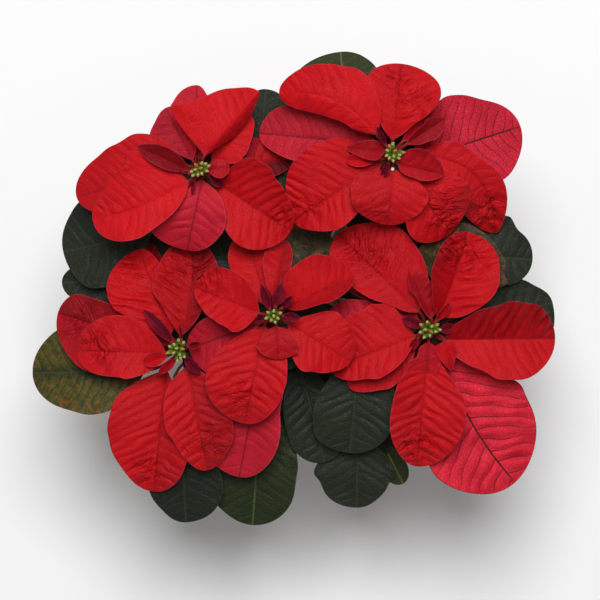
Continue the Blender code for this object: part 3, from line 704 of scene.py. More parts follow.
def blade_sheet(row, t, s):
    """Middle surface of a blade at t along and s across, and what its material reads.

    The height is the midrib's, plus the lift times w / w_max (0.55 |s| + 0.45 s^2), plus a puff of
    |sin(pi vein)|^0.8 between veins, a groove over the midrib, slow waves at the margin and pinches.
    """
    side = (s < 0).astype(int)
    plan, sideways, height = midrib(row, t)
    fine = np.linspace(0, 1, 101)
    widest = np.array([half_width(row, name, fine).max() for name in ("left", "right")])[side]
    width = np.where(s > 0, half_width(row, "left", t), half_width(row, "right", t))
    fill = width / widest
    distance = np.abs(s) * width
    x = plan[..., 0] + s * width * sideways[..., 0]
    y = plan[..., 1] + s * width * sideways[..., 1]
    lift = np.full(2, row["lift"], float)[side]
    z = height + lift * fill * (0.55 * np.abs(s) + 0.45 * s * s)
    length = 1.02 * math.dist(row["base"], row["tip"])
    spacing = length / max(3, round(length / row["gap"]))
    vein = (length * t - VEIN_SLANT * distance - VEIN_CURVE * distance**2) / spacing + 0.4 * side
    drift = 0.1 * np.sin(math.tau * 1.37 * t * length / spacing / 3 + 5 * side)
    vein += 0.16 * ripple(x, y, 26, 2.0) + drift
    swell = eased_step(distance, 0.5, 6) * (1 - 0.45 * np.abs(s) ** 4)
    swell *= eased_step(t, 0.02, 0.14) * eased_step(1 - t, 0.0, 0.08)
    swell *= 1 + 0.7 * ripple(x, y, 30, 5.0)
    pleat = np.full(2, row["pleat"], float)[side]
    z += pleat * swell * (2 * np.abs(np.sin(math.pi * vein)) ** 0.8 - 1)
    groove = GROOVE_DEPTH * np.exp(-((distance / GROOVE_WIDTH) ** 2))
    z -= groove * eased_step(1 - t, 0.02, 0.3) * eased_step(t, 0.02, 0.1)
    seed = 0.37 * row["base"][0] + 0.61 * row["base"][1]
    phase = seed + 2.1 * side
    z += row["wave"] * s**2 * fill * np.sin(math.tau * (SLOW_WAVES * t) + phase)
    z += 0.6 * row["wave"] * np.abs(s) ** 3 * fill * np.sin(math.tau * (QUICK_WAVES * t) + 2 * phase)
    z += 0.45 * fill * ripple(x, y, 24, seed) + 0.2 * fill * ripple(x, y, 9, seed)
    pucker = 0.07 + 0.05 * pleat + 0 * t
    for spot in row["crumples"]:
        z += crumple(x, y, spot)
        away = np.hypot(x - spot[0], y - spot[1]) / spot[2]
        pucker += 0.65 * spot[3] * np.exp(-0.7 * away**2)
    # Painted shade: each half's share of darkening, eased across the midrib.
    left_share = eased_step(s, -0.06, 0.06)
    left_deep, right_deep = np.full(2, row["deep"], float)
    deep = left_deep * left_share + right_deep * (1 - left_share)
    pucker = np.clip(pucker, 0, 1.2) * fill**0.5
    facts = dict(zip(FACTS, (vein, distance, (1 - np.abs(s)) * width, 0 * t, pucker, 0 * t, deep + 0 * t)))
    return in_place(np.stack([x, y, z], axis=-1)), facts, np.stack([length * t, s * width], axis=-1)


def shoot_at_height(shoot, z):
    """Centre, direction and radius of a shoot where it passes height z."""
    u = np.linspace(0, 1, 200)
    path = shoot_path(shoot, u)
    here = float(np.interp(z, path[:, 2], u))
    ends = shoot_path(shoot, np.clip([here - 0.02, here + 0.02], 0, 1))
    return shoot_path(shoot, here), unit(ends[1] - ends[0]), shoot_radius(here)


def stalk_path(row, shoot):
    """Centre line of the stalk: a cubic curve from the shoot's side to the blade's base."""
    low, middle, end = row["heights"]
    base = in_place((*row["base"], low))
    reach = math.dist(row["base"], SHOOTS[shoot]["top"][:2])
    grows_at = row["grows_at"] or low - 0.5 * reach - 3
    core, along, radius = shoot_at_height(shoot, grows_at)
    out = base - core
    out = unit(out - (out @ along) * along)
    foot = core + STALK_FOOT * radius * out
    plan, _, _ = midrib(row, np.array([0.0, 0.05]))
    ahead = unit(np.array((*(plan[1] - plan[0]) / 0.05, -3 * low + 4 * middle - end)))
    bend = 0.35 * np.linalg.norm(base - foot)
    corners = np.array([foot, foot + bend * (0.7 * out + 0.7 * along), base - bend * ahead, base])
    return cubic(corners, np.linspace(0, 1, STALK_ROWS + 1)[:-1])


def round_trip(over, under):
    """Values of each ring, from left to right over the upper side and back along the under side."""
    return np.concatenate([over, under[:, -2:0:-1]], axis=1)


def make_blade(name, row, shoot, rows, half):
    """One closed skin of stalk and blade, with this many rows of rings and of columns on each side.

    Rings lean forward across the blade, so that they follow the veins: t = u + skew |s| 4 u (1 - u).
    Quads of the under side start one corner on, to split along the same lines as those over them.
    """
    u = 1 - (1 - np.linspace(0, 1, rows + 1)[:-1]) ** ROW_GATHERING
    near = (1 - np.cos(math.pi * np.linspace(0, 1, half + 1))) / 2
    s = np.concatenate([near[::-1], -near[1:]])
    u_grid, s_grid = np.meshgrid(u, s, indexing="ij")
    t = u_grid + BLADE_SKEW * np.abs(s_grid) * 4 * u_grid * (1 - u_grid)
    sheet, facts, flat = blade_sheet(row, t, s_grid)
    thin = 1 - np.abs(s_grid) ** 8
    body = BLADE_THICKNESS * thin
    rib = RIB_DEPTH * np.exp(-((facts["rib"] / RIB_WIDTH) ** 2)) * (1 - t) ** 0.6
    over, under = sheet.copy(), sheet.copy()
    over[..., 2] += SHARE_OVER * body
    under[..., 2] -= (1 - SHARE_OVER) * body + rib * thin
    base = in_place((*row["base"], row["heights"][0]))
    _, sideways, _ = midrib(row, np.array([0.0]))
    sideways = np.array((*sideways[0], 0))
    upwards = np.sqrt(1 - s_grid**2)[..., None] * np.array((0, 0, 1.0))
    share = eased_step(u_grid, 0, STALK_BLEND)[..., None]
    over = share * over + (1 - share) * (base + STALK_RADIUS * (s_grid[..., None] * sideways + upwards))
    under = share * under + (1 - share) * (base + STALK_RADIUS * (s_grid[..., None] * sideways - upwards))
    rings = round_trip(over, under)
    path = stalk_path(row, shoot)
    along = unit(np.gradient(np.concatenate([path, [base]]), axis=0)[:-1])
    level = unit(sideways - (along @ sideways)[:, None] * along)
    lean = round_trip(s[None], s[None])[..., None]
    above = np.ones((1, len(s)))
    rise = round_trip(above, -above)[..., None] * np.sqrt(1 - lean**2)
    stalk = path[:, None] + STALK_RADIUS * (lean * level[:, None] + rise * np.cross(along, level)[:, None])
    tip, tip_facts, tip_flat = blade_sheet(row, np.array([1.0]), np.array([0.0]))
    points, quads, fans = skin(np.concatenate([stalk, rings]), path[0], tip[0])
    count = rings.shape[1]
    underside = np.arange(len(quads)) % count >= len(s) - 1
    quads[underside] = np.roll(quads[underside], -1, axis=1)
    piece = put_mesh(f"{name}_blade", points, quads, fans, BLADE_FINISHES[row["look"]])
    facts["stalk"] = 1 - share[..., 0]
    for fact, values in facts.items():
        ring_values = round_trip(values, values + (fact == "under")).ravel()
        on_stalk = STALK_FACTS.get(fact, 0.0)
        ends = [on_stalk, tip_facts[fact][0]]
        give(piece, fact, np.concatenate([np.full(len(path) * count, on_stalk), ring_values, ends]))
    map_path = np.stack([STALK_MAP_START + np.arange(len(path)), 0 * path[:, 0]], axis=1)
    ring_flat = round_trip(flat, flat).reshape(-1, 2)
    all_flat = np.concatenate([np.repeat(map_path, count, axis=0), ring_flat, map_path[:1], tip_flat])
    corner = np.empty(len(piece.data.loops), np.int32)
    piece.data.loops.foreach_get("vertex_index", corner)
    layer = piece.data.uv_layers.new(name="blade_mm")
    layer.data.foreach_set("uv", (all_flat[corner] * UV_SCALE).astype(np.float32).ravel())
    return piece


def blade_finish(
    name, colours, vein_strength, rib_strength, stalk="#8A2420", roughness=0.6, gloss=0.2, down=0.0,
    down_tint="#E8404A", mottle=None, back="#C4384A", deep="#5A0610", net_depth=0.25, far=0.4, fades=0.0,
):
    """A leaf blade: a waxy skin over cells, faintly clouded, with lines over its veins and another margin.

    The colours are those of its skin, the clouds in it, its veins, its midrib and its margin.
    Vein lines lie where the vein attribute passes a whole number, and a net of small cells fills the space
    between them. Folds and creases show where the pucker attribute rises, and painted shade darkens the
    colour towards its shade colour where its share rises.
    """
    body, cloud, vein, rib, rim = colours.split()
    skin_values = {"Roughness": roughness, "Specular IOR Level": gloss, "IOR": 1.42, "Sheen Weight": down}
    skin_values |= {"Sheen Roughness": 0.45, "Sheen Tint": linear(down_tint)}
    material = new_material(name, skin_values)
    place = own_place(material)
    tree = material.node_tree
    flat = add_node(tree, "ShaderNodeUVMap", {"uv_map": "blade_mm"}).outputs["UV"]
    read = {fact: stored(material, fact) for fact in FACTS}
    clouded = remap(patches(place, 20, 3), 0.3, 0.7)
    colour = blend(clouded, body, cloud)
    # Painted shade: the colour is darkened towards the shade colour by each point's painted-shade share.
    colour = blend(read["deep"], colour, deep)
    swing = calculate("PINGPONG", read["vein"], 0.5)
    if mottle:
        between = remap(swing, 0.0, 0.2, 0.7, 1.0)
        between = times(between, remap(read["rib"], 0.5, 9.0, 0.2, 1.0))
        patch = remap(patches(place, 5, 5), 0.32, 0.68, 0.35, 1.0)
        colour = blend(times(between, patch), colour, mottle[0])
        outer = remap(patches(place, 14, 2), 0.35, 0.6, 0.25, 1.0)
        outer = times(outer, remap(read["rim"], 4.0, 34.0, 1.0, 0.25))
        freckle = remap(patches(place, 3.2, 5), 0.5, 0.74)
        colour = blend(times(freckle, outer), colour, mottle[1])
    net_inputs = {"Vector": flat, "Scale": 1 / (UV_SCALE * NET_CELL)}
    cells = add_node(tree, "ShaderNodeTexVoronoi", {"feature": "DISTANCE_TO_EDGE"}, net_inputs)
    net = remap(cells.outputs["Distance"], 0.0, 0.14, 1.0, 0.0)
    colour = blend(times(net, 0.3 * vein_strength), colour, vein)
    line = remap(swing, 0.0, 0.08, 1.0, 0.0)
    line = times(line, remap(read["rim"], 0.0, 8.0, 0.15, 1.0))
    line = times(line, remap(read["rib"], 2.0, 28.0, 1.0, far))
    colour = blend(times(line, vein_strength), colour, vein)
    middle = remap(read["rib"], 0.25, 1.0, 1.0, 0.0)
    if fades:
        middle = times(middle, remap(read["rim"], 2.0, fades, 0.2, 1.0))
    colour = blend(times(middle, rib_strength), colour, rib)
    colour = blend(remap(read["rim"], 0.1, 0.9, 0.6, 0.0), colour, rim)
    colour = blend(times(read["under"], 0.6), colour, back)
    colour = blend(read["stalk"], colour, stalk)
    normal = bumped(patches(place, 0.8, 2), 0.5, 0.00012)
    normal = bumped(net, 0.6, net_depth * MM, normal, sunk=True)
    drawn = {"X": times(read["vein"], 1.3), "Y": times(read["rib"], 0.1), "Z": times(read["stalk"], 3.0)}
    drawn = add_node(tree, "ShaderNodeCombineXYZ", {}, drawn).outputs[0]
    streak_inputs = {"Vector": drawn, "Scale": 1.0, "Detail": 2.0, "Distortion": 0.7}
    streak = add_node(tree, "ShaderNodeTexNoise", {}, streak_inputs).outputs["Fac"]
    fold = calculate("PINGPONG", times(streak, 2.6), 0.5)
    twist = times(patches(place, 15, 2), 3.2)
    crease = calculate("PINGPONG", twist, 0.5)
    both = calculate("MULTIPLY_ADD", crease, 0.55, fold)
    normal = bumped(times(both, read["pucker"]), 0.9, 0.0036, normal)
    return dress(material, colour, bumped(line, 0.5, 0.0004, normal, sunk=True))


LEAF_SKIN = dict(stalk="#7A4A34", roughness=0.5, gloss=0.28, down=0.1, down_tint="#8A9A80")
RUSTED_SKIN = dict(LEAF_SKIN, gloss=0.25, back="#74704A")
BLADE_FINISHES = {
    "scarlet": blade_finish("bract, scarlet", "#BA0B14 #B00914 #9A0812 #8C0A14 #B83040", 0.15, 0.5),
    "silky": blade_finish("bract, scarlet and smooth", "#C20C15 #B80A15 #AC0A14 #A40A14 #B83040",
                          0.08, 0.12),
    "crimson": blade_finish("bract, crimson", "#AE0B18 #A00918 #880812 #780A14 #B02C40", 0.45, 0.6),
    "rose": blade_finish("bract, rose red", "#BA1A2D #AE1427 #8E1220 #701420 #C04858", 0.5, 0.75),
    "veined": blade_finish("bract, rose red with dark veins", "#CC2037 #B41629 #54101C #3C1A1C #7C182E",
                           1.0, 1.0, net_depth=0.35, far=0.8, fades=24.0),
    "veined_light": blade_finish("bract, light red with dark veins",
                                 "#DE283C #C41C30 #5C101C #3C1A1C #6E142A", 0.9, 1.0, net_depth=0.3,
                                 far=0.8, fades=30.0),
    "maroon": blade_finish("bract, unopened and maroon", "#7A0C26 #66081C #4C0614 #3C0812 #8A2038",
                           0.4, 0.5),
    # The leaves' shade colour, a near black green, is painted shade for leaves that lie in shadow.
    "leaf": blade_finish("leaf, dark green", "#23281C #1C2319 #2C3826 #38462C #3A442C", 0.25, 0.4,
                         back="#5E6E4C", deep="#12160F", net_depth=0.3, **LEAF_SKIN),
    "leaf_green": blade_finish("leaf, fresh green", "#232C14 #1B2610 #33421F #4A5C2C #44522C", 0.3, 0.7,
                               back="#66744C", net_depth=0.3, **LEAF_SKIN),
    "leaf_light": blade_finish("leaf, lighter green", "#33371A #2A3117 #3C4624 #5E6E3A #4C5A32", 0.35, 0.7,
                               back="#6E7C52", **LEAF_SKIN),
    "leaf_mottled": blade_finish("leaf, mottled with rust", "#222E18 #1A2814 #222A18 #3E4226 #6A3A28",
                                 0.5, 0.6, mottle=("#544D18", "#8E481F"), **RUSTED_SKIN),
    # A dark green leaf with dark olive patches and rust freckles.
    "leaf_rusty": blade_finish("leaf, dark, with olive patches and rust freckles", "#22261A #1E2418 #1C2016 #38341E #6A3A28",
                               0.4, 0.6, mottle=("#3E3A1C", "#86382A"), **RUSTED_SKIN),
}


def make_blades(shoot, prefix, rows):
    """Make the blades of a list, or of rows by number, in place of the CAD nodes of the same names."""
    numbered = rows.items() if isinstance(rows, dict) else enumerate(rows, 1)
    for number, row in numbered:
        name = f"{prefix}_{number}"
        plain = len(row["left"]) == 2
        rings = (PLAIN_ROWS_PER_MM if plain else ROWS_PER_MM) * math.dist(row["base"], row["tip"])
        rings = int(np.clip(rings, FEWEST_ROWS, BLADE_ROWS))
        piece = make_blade(name, row, shoot, rings, PLAIN_HALF if plain else BLADE_HALF)
        slot = "leaf" if row["look"].startswith("leaf") else "bract"
        stand_for(piece, slot, *([name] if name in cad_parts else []))


def heading(degrees):
    """Direction in the plan: (cos a, sin a)."""
    return np.array([math.cos(math.radians(degrees)), math.sin(math.radians(degrees))])


def make_head(shoot, bracts, inner, under_height, under_directions):
    """Make a head's bracts, its inner bracts, and the short broad blades close under it."""
    make_blades(shoot, f"{shoot}_bract", bracts)
    make_blades(shoot, f"{shoot}_inner", inner)
    under = []
    for number, degrees in enumerate(under_directions):
        turn = number % len(UNDER_LOOKS)
        z = under_height - UNDER_STEP * turn
        base, tip = (SHOOTS[shoot]["top"][:2] + reach * heading(degrees) for reach in UNDER_REACHES)
        more = dict(grows_at=z - 9, look=UNDER_LOOKS[turn])
        under.append(small_blade(base, tip, (z, z + 1, z - 5), UNDER_WIDTH, **more))
    make_blades(shoot, f"{shoot}_under", under)


# In the rows of the heads and leaves below, the values that darken a blade's halves are painted shade.
make_head("rear_left", [
    blade((-84, 82), (-156, 53), (292, 295, 280), (-95, 58, -105, 50, -125, 38, -137, 37, -149, 41),
          (-100, 99, -120, 103, -138, 90, -151, 70), bow=4, lift=(5, 8), look="silky",
          crumples=[(-147, 62, 8, 0.5, 5, 0.0), (-136, 86, 8, 0.4, 4, 1.0)]),
    blade((-86, 93), (-168, 70), (284, 286, 264), (-100, 70, -130, 58, -155, 59),
          (-100, 112, -114, 117, -122, 116, -138, 109, -158, 96, -166, 84), lift=(3, 5)),
    blade((-72, 101), (-31, 149), (293, 297, 284),
          (-90, 118, -92, 130, -84, 139, -71, 146, -60, 150, -42, 152),
          (-62, 107, -46, 118, -37, 131, -32, 143), lift=(6, -17), look="silky"),
    blade((-81, 98), (-101, 137), (279, 282, 274), (-98, 108, -114, 117, -107, 130), (-78, 112, -84, 130),
          lift=(4, 6), look="rose", deep=(0.35, 0.1), pleat=(1.1, 1.0)),
    blade((-77, 98), (-78, 154), (271, 270, 262), (-92, 112, -100, 130, -92, 147),
          (-66, 115, -64, 135, -71, 148), lift=3, look="rose"),
    blade((-66, 97), (-37, 131), (275, 278, 268), (-66, 112, -55, 128),
          (-50, 95, -41, 102, -37, 112, -35, 122), lift=3),
    blade((-64, 82), (-7, 45), (279, 283, 273), (-52, 98, -38, 98, -28, 94, -15, 80, -8, 66),
          (-62, 62, -57, 45, -45, 33, -32, 30, -14, 34), bow=-1, neck=0.6, lift=(24, 4), pleat=(1.3, 0.4),
          crumples=[(-12, 54, 9, 1.0, 4, 0.5)]),
    blade((-74, 83), (-85, 30), (287, 287, 272), (-61, 72, -57, 60, -57, 46, -65, 36),
          (-92, 70, -105, 58, -112, 46, -104, 34), lift=(6, 3), look="rose", pleat=(0.5, 0.4)),
    blade((-66, 92), (-6, 98), (259, 256, 247), (-50, 107, -35, 115, -20, 108), (-50, 84, -30, 82, -14, 88),
          lift=2, look="crimson", deep=(0.1, 1.0)),
], [
    bud((-84, 90), (-123, 108), (295, 302, 301), (7, 9), 0.8, "crimson", lift=(3, 8), deep=(0.7, 0.6)),
    blade((-70, 91), (-53, 92), (297, 299, 297), (-66, 96, -58, 98), (-66, 86, -60, 84, -55, 87),
          lift=(1, 3), look="crimson"),
    bud((-77, 95), (-78.5, 102), (300, 304, 307), 1.3, 0.9, "rose"),
    bud((-84, 88), (-93, 97), (294, 296, 296), 4, 0.8),
    bud((-80, 82), (-86, 70), (290, 289, 284), 4, 0.8),
    bud((-68, 86), (-58, 78), (291, 290, 285), 4, 0.8),
], 259, (20, 68, 116, 164, 212, 260, 308, 356, 44, 140))

# Bracts of the rear right head
# The largest head. Its top left bract curls its lower margin down over the one behind.
make_head("rear_right", [
    blade((57, 117), (-16, 147), (293, 300, 286), (45, 119, 30, 127, 0, 136, -10, 139),
          (58, 145, 50, 162, 27, 170, 15, 170, 5, 168, -12, 157), bow=-12, lift=(-8, 5), look="silky"),
    blade((69, 113), (76, 170), (286, 288, 276), (60, 125, 52, 145, 50, 158, 58, 168),
          (82, 122, 97, 133, 105, 143, 104, 153, 101, 161, 90, 169), lift=(8, 12), pleat=(0.5, 0.8),
          crumples=[(72, 160, 9, 1.0, 4, 0.0), (87, 140, 12, 1.0, 4, 1.5)]),
    blade((84, 97), (165, 123), (256, 256, 245), (95, 127, 105, 145, 120, 146, 140, 142, 154, 137),
          (110, 86, 135, 83, 153, 83, 164, 94, 167, 110), lift=3, look="veined"),
    blade((88, 101), (146, 43), (270, 266, 233), (110, 112, 135, 99, 153, 82, 156, 70, 155, 60, 150, 50),
          (100, 85, 118, 65, 130, 50), bow=20, lift=(2, 6),
          crumples=[(140, 64, 10, 1.4, 4, 0.4), (139, 52, 8, 1.0, 5, 1.4)]),
    blade((85, 86), (114, 44), (284, 284, 263), (105, 90, 120, 84, 127, 78, 128, 65, 124, 52),
          (82, 70, 78, 55, 82, 42, 90, 34, 103, 38), bow=-3, lift=(4, 1),
          crumples=[(110, 56, 11, 1.5, 5, 0.9), (99, 74, 12, 0.8, 4, 0.3)]),
    blade((69, 91), (66, 49), (291, 293, 281), (85, 84, 94, 76, 96, 70, 90, 58, 76, 50),
          (50, 90, 40, 82, 38, 70, 43, 58, 55, 50), neck=0.5, deep=(0.0, 0.15),
          crumples=[(57, 60, 8, 0.7, 4, 0.0)]),
    blade((73, 95), (107, 87), (296, 298, 293), (82, 106, 95, 105, 104, 97), (80, 86, 95, 82, 104, 84),
          lift=(11, 4), look="crimson", neck=0.4, pleat=(0.7, 0.3)),
    blade((60, 95), (-6, 52), (280, 281, 265), (52, 75, 40, 55, 30, 46, 18, 43, 5, 43, -4, 47),
          (48, 108, 33, 111, 12, 110, -5, 97, -13, 83, -11, 64), lift=(5, 8), pleat=(0.4, 0.7),
          crumples=[(5, 61, 10, 1.0, 5, 0.0)]),
    blade((58, 109), (-31, 118), (271, 270, 260), (20, 100, -5, 97, -22, 105),
          (30, 128, 0, 137, -20, 137, -28, 130), lift=2, look="rose", deep=(0.0, 0.25)),
], [
    bud((77, 112), (99, 133), (283, 284, 280), 5, 0.7, "crimson"),
    blade((80, 110), (109, 129), (289, 291, 287), (88, 121, 100, 130), (92, 110, 105, 117), lift=(8, 3),
          look="crimson", deep=(0.5, 0.4), taper=0.8),
    bud((63, 104), (32, 107), (289, 290, 286), (6.5, 7), 1.0, "crimson", neck=0.4, deep=0.3),
    bud((64, 109), (57, 123), (297, 300, 302), 2.5, 0.9),
    bud((56, 97), (33, 98), (286, 287, 284), 5, 0.6, "scarlet", pleat=0.5),
    bud((66, 95), (61, 84), (294, 295, 292), 3, 0.8),
    bud((78, 101), (90, 97), (293, 293, 290), 4, 0.8),
    bud((88, 116), (111, 140), (252, 251, 245), (8, 9), 0.6, "rose"),
], 250, range(10, 360, 48))

# Bracts of the centre head
# A lower head between the others, with one long bract that hangs forward and a small one over its root.
make_head("centre", [
    blade((-31, -17), (-79, 2), (280, 282, 274), (-40, -28, -47, -29.5, -58, -26, -68, -20, -78, -7),
          (-38, 4, -50, 14, -60, 17, -72, 14), lift=(9, 10), pleat=(0.7, 0.35),
          crumples=[(-70, 9, 12, 1.1, 5, 0.3)]),
    blade((-26, -11), (-41, 45), (270, 265, 252), (-44, 5, -53, 17, -54, 32, -49, 42),
          (-18, 10, -18, 28, -30, 43), lift=3),
    blade((-20, -5), (-12, 38), (279, 277, 259), (-27, 10, -28, 25), (-10, 8, -6, 24), lift=3,
          deep=(0.15, 0.5), pleat=0.5),
    blade((-11, -13), (40, 11), (280, 285, 275), (-12, 10, -2, 20, 5, 25, 20, 27, 36, 20),
          (-4, -15, 10, -12, 28, -6, 39, 4), lift=(9, 10), deep=(0.0, 0.3), neck=0.6),
    blade((-9, -25), (38, -53), (274, 275, 264), (5, -19, 22, -15, 37, -25, 41, -38),
          (-8, -45, -2, -58, 13, -62, 28, -60), lift=(2, 7)),
    blade((-18, -27), (-17, -52), (283, 286, 281), (-6, -33, -2, -42, -8, -50),
          (-28, -33, -33, -42, -27, -49), lift=3, look="crimson", taper=0.7, neck=0.5),
    blade((-27, -27), (-42, -100), (272, 275, 259), (-12, -45, -10, -62, -14, -80, -28, -97),
          (-55, -40, -68, -52, -71, -65, -70, -78, -58, -94), pleat=(0.7, 0.9),
          crumples=[(-47, -82, 12, 1.2, 5, 0.6)]),
    blade((-29, -52), (-46, -140), (247, 246, 227), (-14, -70, -16, -90, -15, -108, -20, -125, -32, -137),
          (-60, -80, -72, -105, -70, -130, -58, -139), lift=3, grows_at=236, look="rose"),
    blade((-31, -25), (-84, -44), (264, 262, 248), (-50, -50, -65, -64, -76, -62, -82, -54),
          (-50, -15, -70, -20, -83, -32), lift=2, look="rose"),
], [
    bud((-23, -14), (-30, 5), (286, 289, 289), 3.5, 0.9),
    bud((-19, -12), (-14, 5), (286, 288, 286), (4.5, 5), 0.9),
    bud((-14, -13), (-6, -4), (287, 290, 290), (2.5, 3), 0.9),
    bud((-13, -19), (0, -21), (287, 289, 288), 3.5, 0.9),
    bud((-27, -21), (-35, -23), (283, 284, 281), 2.5, 0.8),
], 258, range(0, 360, 48))

# Bracts of the front left head
# An open head: its bracts stand apart, so that the pale floor shows between their stalks.
make_head("front_left", [
    blade((-101, -47), (-168, -45), (259, 262, 249), (-108, -58, -120, -63, -148, -64, -161, -59),
          (-115, -28, -130, -19, -140, -19, -160, -27), lift=(4, 6),
          crumples=[(-156, -38, 10, 1.7, 4, 0.6), (-148, -50, 8, 0.8, 4, 2.0)]),
    blade((-101, -40), (-182, -17), (248, 250, 235), (-120, -58, -160, -61, -175, -50, -181, -34),
          (-115, -20, -143, -10, -157, -6, -174, -5), lift=(2, 6), look="crimson", deep=(0.1, 0.5),
          crumples=[(-170, -24, 10, 1.5, 3, 0.5), (-156, -14, 8, 0.8, 3, 2.0)]),
    blade((-98, -33), (-121, 31), (255, 257, 246), (-125, -22, -141, -14, -145, -2, -144, 10, -138, 20),
          (-98, -8, -101, 10, -109, 25), pleat=(1.6, 1.0), neck=0.4,
          crumples=[(-126, 17, 10, 1.0, 5, 0.4)]),
    blade((-90, -34), (-82, 40), (261, 262, 249), (-100, -18, -111, -2, -108, 14, -100, 30),
          (-74, -15, -64, 5, -60, 15, -68, 30), bow=-4, lift=5, pleat=(1.3, 1.1), deep=(0.2, 0.5),
          crumples=[(-92, 20, 12, 1.0, 5, 0.2), (-73, 18, 10, 1.1, 4, 1.2)]),
    blade((-101, -60), (-110, -151), (244, 243, 224), (-92, -80, -88, -100, -86, -130, -96, -147),
          (-123, -69, -135, -76, -143, -95, -143, -119, -130, -138), lift=(8, 5), pleat=0.8,
          deep=(0.15, 0.0), crumples=[(-113, -134, 11, 1.3, 5, 0.0)]),
    blade((-85, -57), (-70, -135), (254, 254, 236), (-66, -66, -56, -85, -50, -105, -52, -122, -62, -133),
          (-97, -68, -102, -82, -102, -98, -92, -120, -80, -132), pleat=(0.7, 0.8), deep=(0.3, 0.0),
          crumples=[(-65, -114, 13, 1.3, 4, 0.0)]),
], [
    bud((-100, -49), (-118, -55), (265, 267, 264), (5, 6), 0.6, "scarlet"),
    blade((-104, -10), (-120, 38), (246, 244, 232), (-131, 12, -132, 27), (-102, 15, -107, 30), lift=2,
          look="crimson", deep=0.5, crumples=[(-112, 27, 10, 1.3, 5, 0.0)]),
    bud((-96, -39), (-118, -14), (262, 265, 262), 4.5, 0.9),
    bud((-94, -52), (-107, -63), (262, 263, 259), 3.5, 0.9, "crimson"),
    bud((-87, -50), (-75, -63), (263, 264, 260), 4, 0.9),
    bud((-89, -38), (-91, -23), (266, 270, 272), 1.2, 0.9, "rose"),
    bud((-84, -42), (-75, -40), (262, 263, 260), 2.5, 0.9, "crimson", deep=0.8),
], 239, (-50, -15, 25, 65, 95, 168))

# Bracts of the front right head
# Two of its bracts are folded along the midrib like a V, and the lowest one is light red with dark veins.
make_head("front_right", [
    blade((103, -20), (125, 44), (263, 267, 259), (99, -2, 98, 15, 102, 25, 108, 37),
          (125, -18, 141, -8, 149, 2, 149, 15, 143, 34), bow=-2, lift=(26, 9), pleat=(1.2, 1.1),
          deep=(0.1, 0.0), neck=0.6, crumples=[(126, 30, 12, 1.6, 5, 1.0), (112, 32, 9, 1.2, 6, 0.0)]),
    blade((108, -37), (191, -36), (260, 261, 249), (118, -24, 140, -13, 165, -9, 185, -17),
          (113, -47, 130, -58, 155, -67, 173, -65, 188, -51), lift=(31, 6), pleat=(2.6, 0.5), neck=0.5,
          deep=(0.2, 0.0)),
    blade((107, -50), (161, -144), (242, 239, 224),
          (135, -59, 161, -66, 171, -84, 177, -103, 178, -116, 175, -134),
          (100, -80, 95, -110, 95, -133, 114, -149, 136, -157, 153, -154), bow=-6, lift=(3, 2),
          look="veined_light", pleat=1.5, wave=1.5, gap=10.5),
    blade((96, -43), (87, -132), (258, 260, 241),
          (105, -58, 117, -68, 125, -85, 123, -100, 118, -115, 104, -128),
          (83, -55, 75, -65, 69, -85, 67, -100, 68, -112, 76, -125), lift=(6, 11), pleat=(1.4, 1.5),
          deep=(0.0, 0.1), crumples=[(86, -117, 12, 1.5, 5, 0.0)]),
    blade((86, -34), (22, -59), (258, 259, 247), (78, -52, 65, -63, 42, -67.5, 30, -66),
          (80, -17, 60, -13, 40, -17, 25, -35), lift=(7, 4)),
    blade((89, -16), (28, 42), (259, 260, 246), (70, -12, 50, -5, 36, 5, 26, 16, 21, 27),
          (95, 15, 85, 35, 75, 47, 58, 52, 38, 50), lift=(5, 9), deep=0.1, pleat=(0.5, 0.6), neck=0.55,
          crumples=[(41, 36, 12, 1.3, 5, 0.3), (56, 28, 11, 1.1, 4, 1.1)]),
    blade((88, -22), (36, 0), (249, 248, 240), (78, -22, 60, -15, 46, -6), (80, 0, 60, 15, 45, 12), lift=2,
          look="rose"),
], [
    blade((98, -21), (81, 16), (265, 268, 263), (88, -8, 81, 4), (102, -8, 97, 7, 90, 14), look="crimson",
          pleat=0.9, deep=(0.3, 0.2), neck=0.5, taper=0.7),
    blade((96, -39), (94, -71), (265, 264, 257), (103, -46, 105, -55, 101, -64),
          (88, -47, 81, -57, 86, -66), look="crimson", taper=0.8, neck=0.45),
    bud((108, -38), (113, -61), (262, 262, 256), 6.5, 1.0, "scarlet", neck=0.3),
    blade((86, -42), (36, -72), (250, 249, 243), (70, -72, 55, -76, 44, -76), (60, -45, 40, -55), lift=2),
    blade((82, -28), (20, -20), (250, 248, 243), (60, -35, 40, -36), (60, -12, 45, -7, 28, -9), lift=2,
          look="rose"),
    bud((102, -23), (113, -9), (268, 270, 270), 3, 0.9, "crimson"),
    bud((91, -27), (76, -21), (263, 264, 261), 4, 0.9),
    bud((104, -30), (118, -27), (264, 265, 262), 4, 0.9),
    bud((88, -36), (82, -45), (262, 262, 258), 3, 0.9, "crimson", deep=0.4),
], 236, range(15, 360, 48))

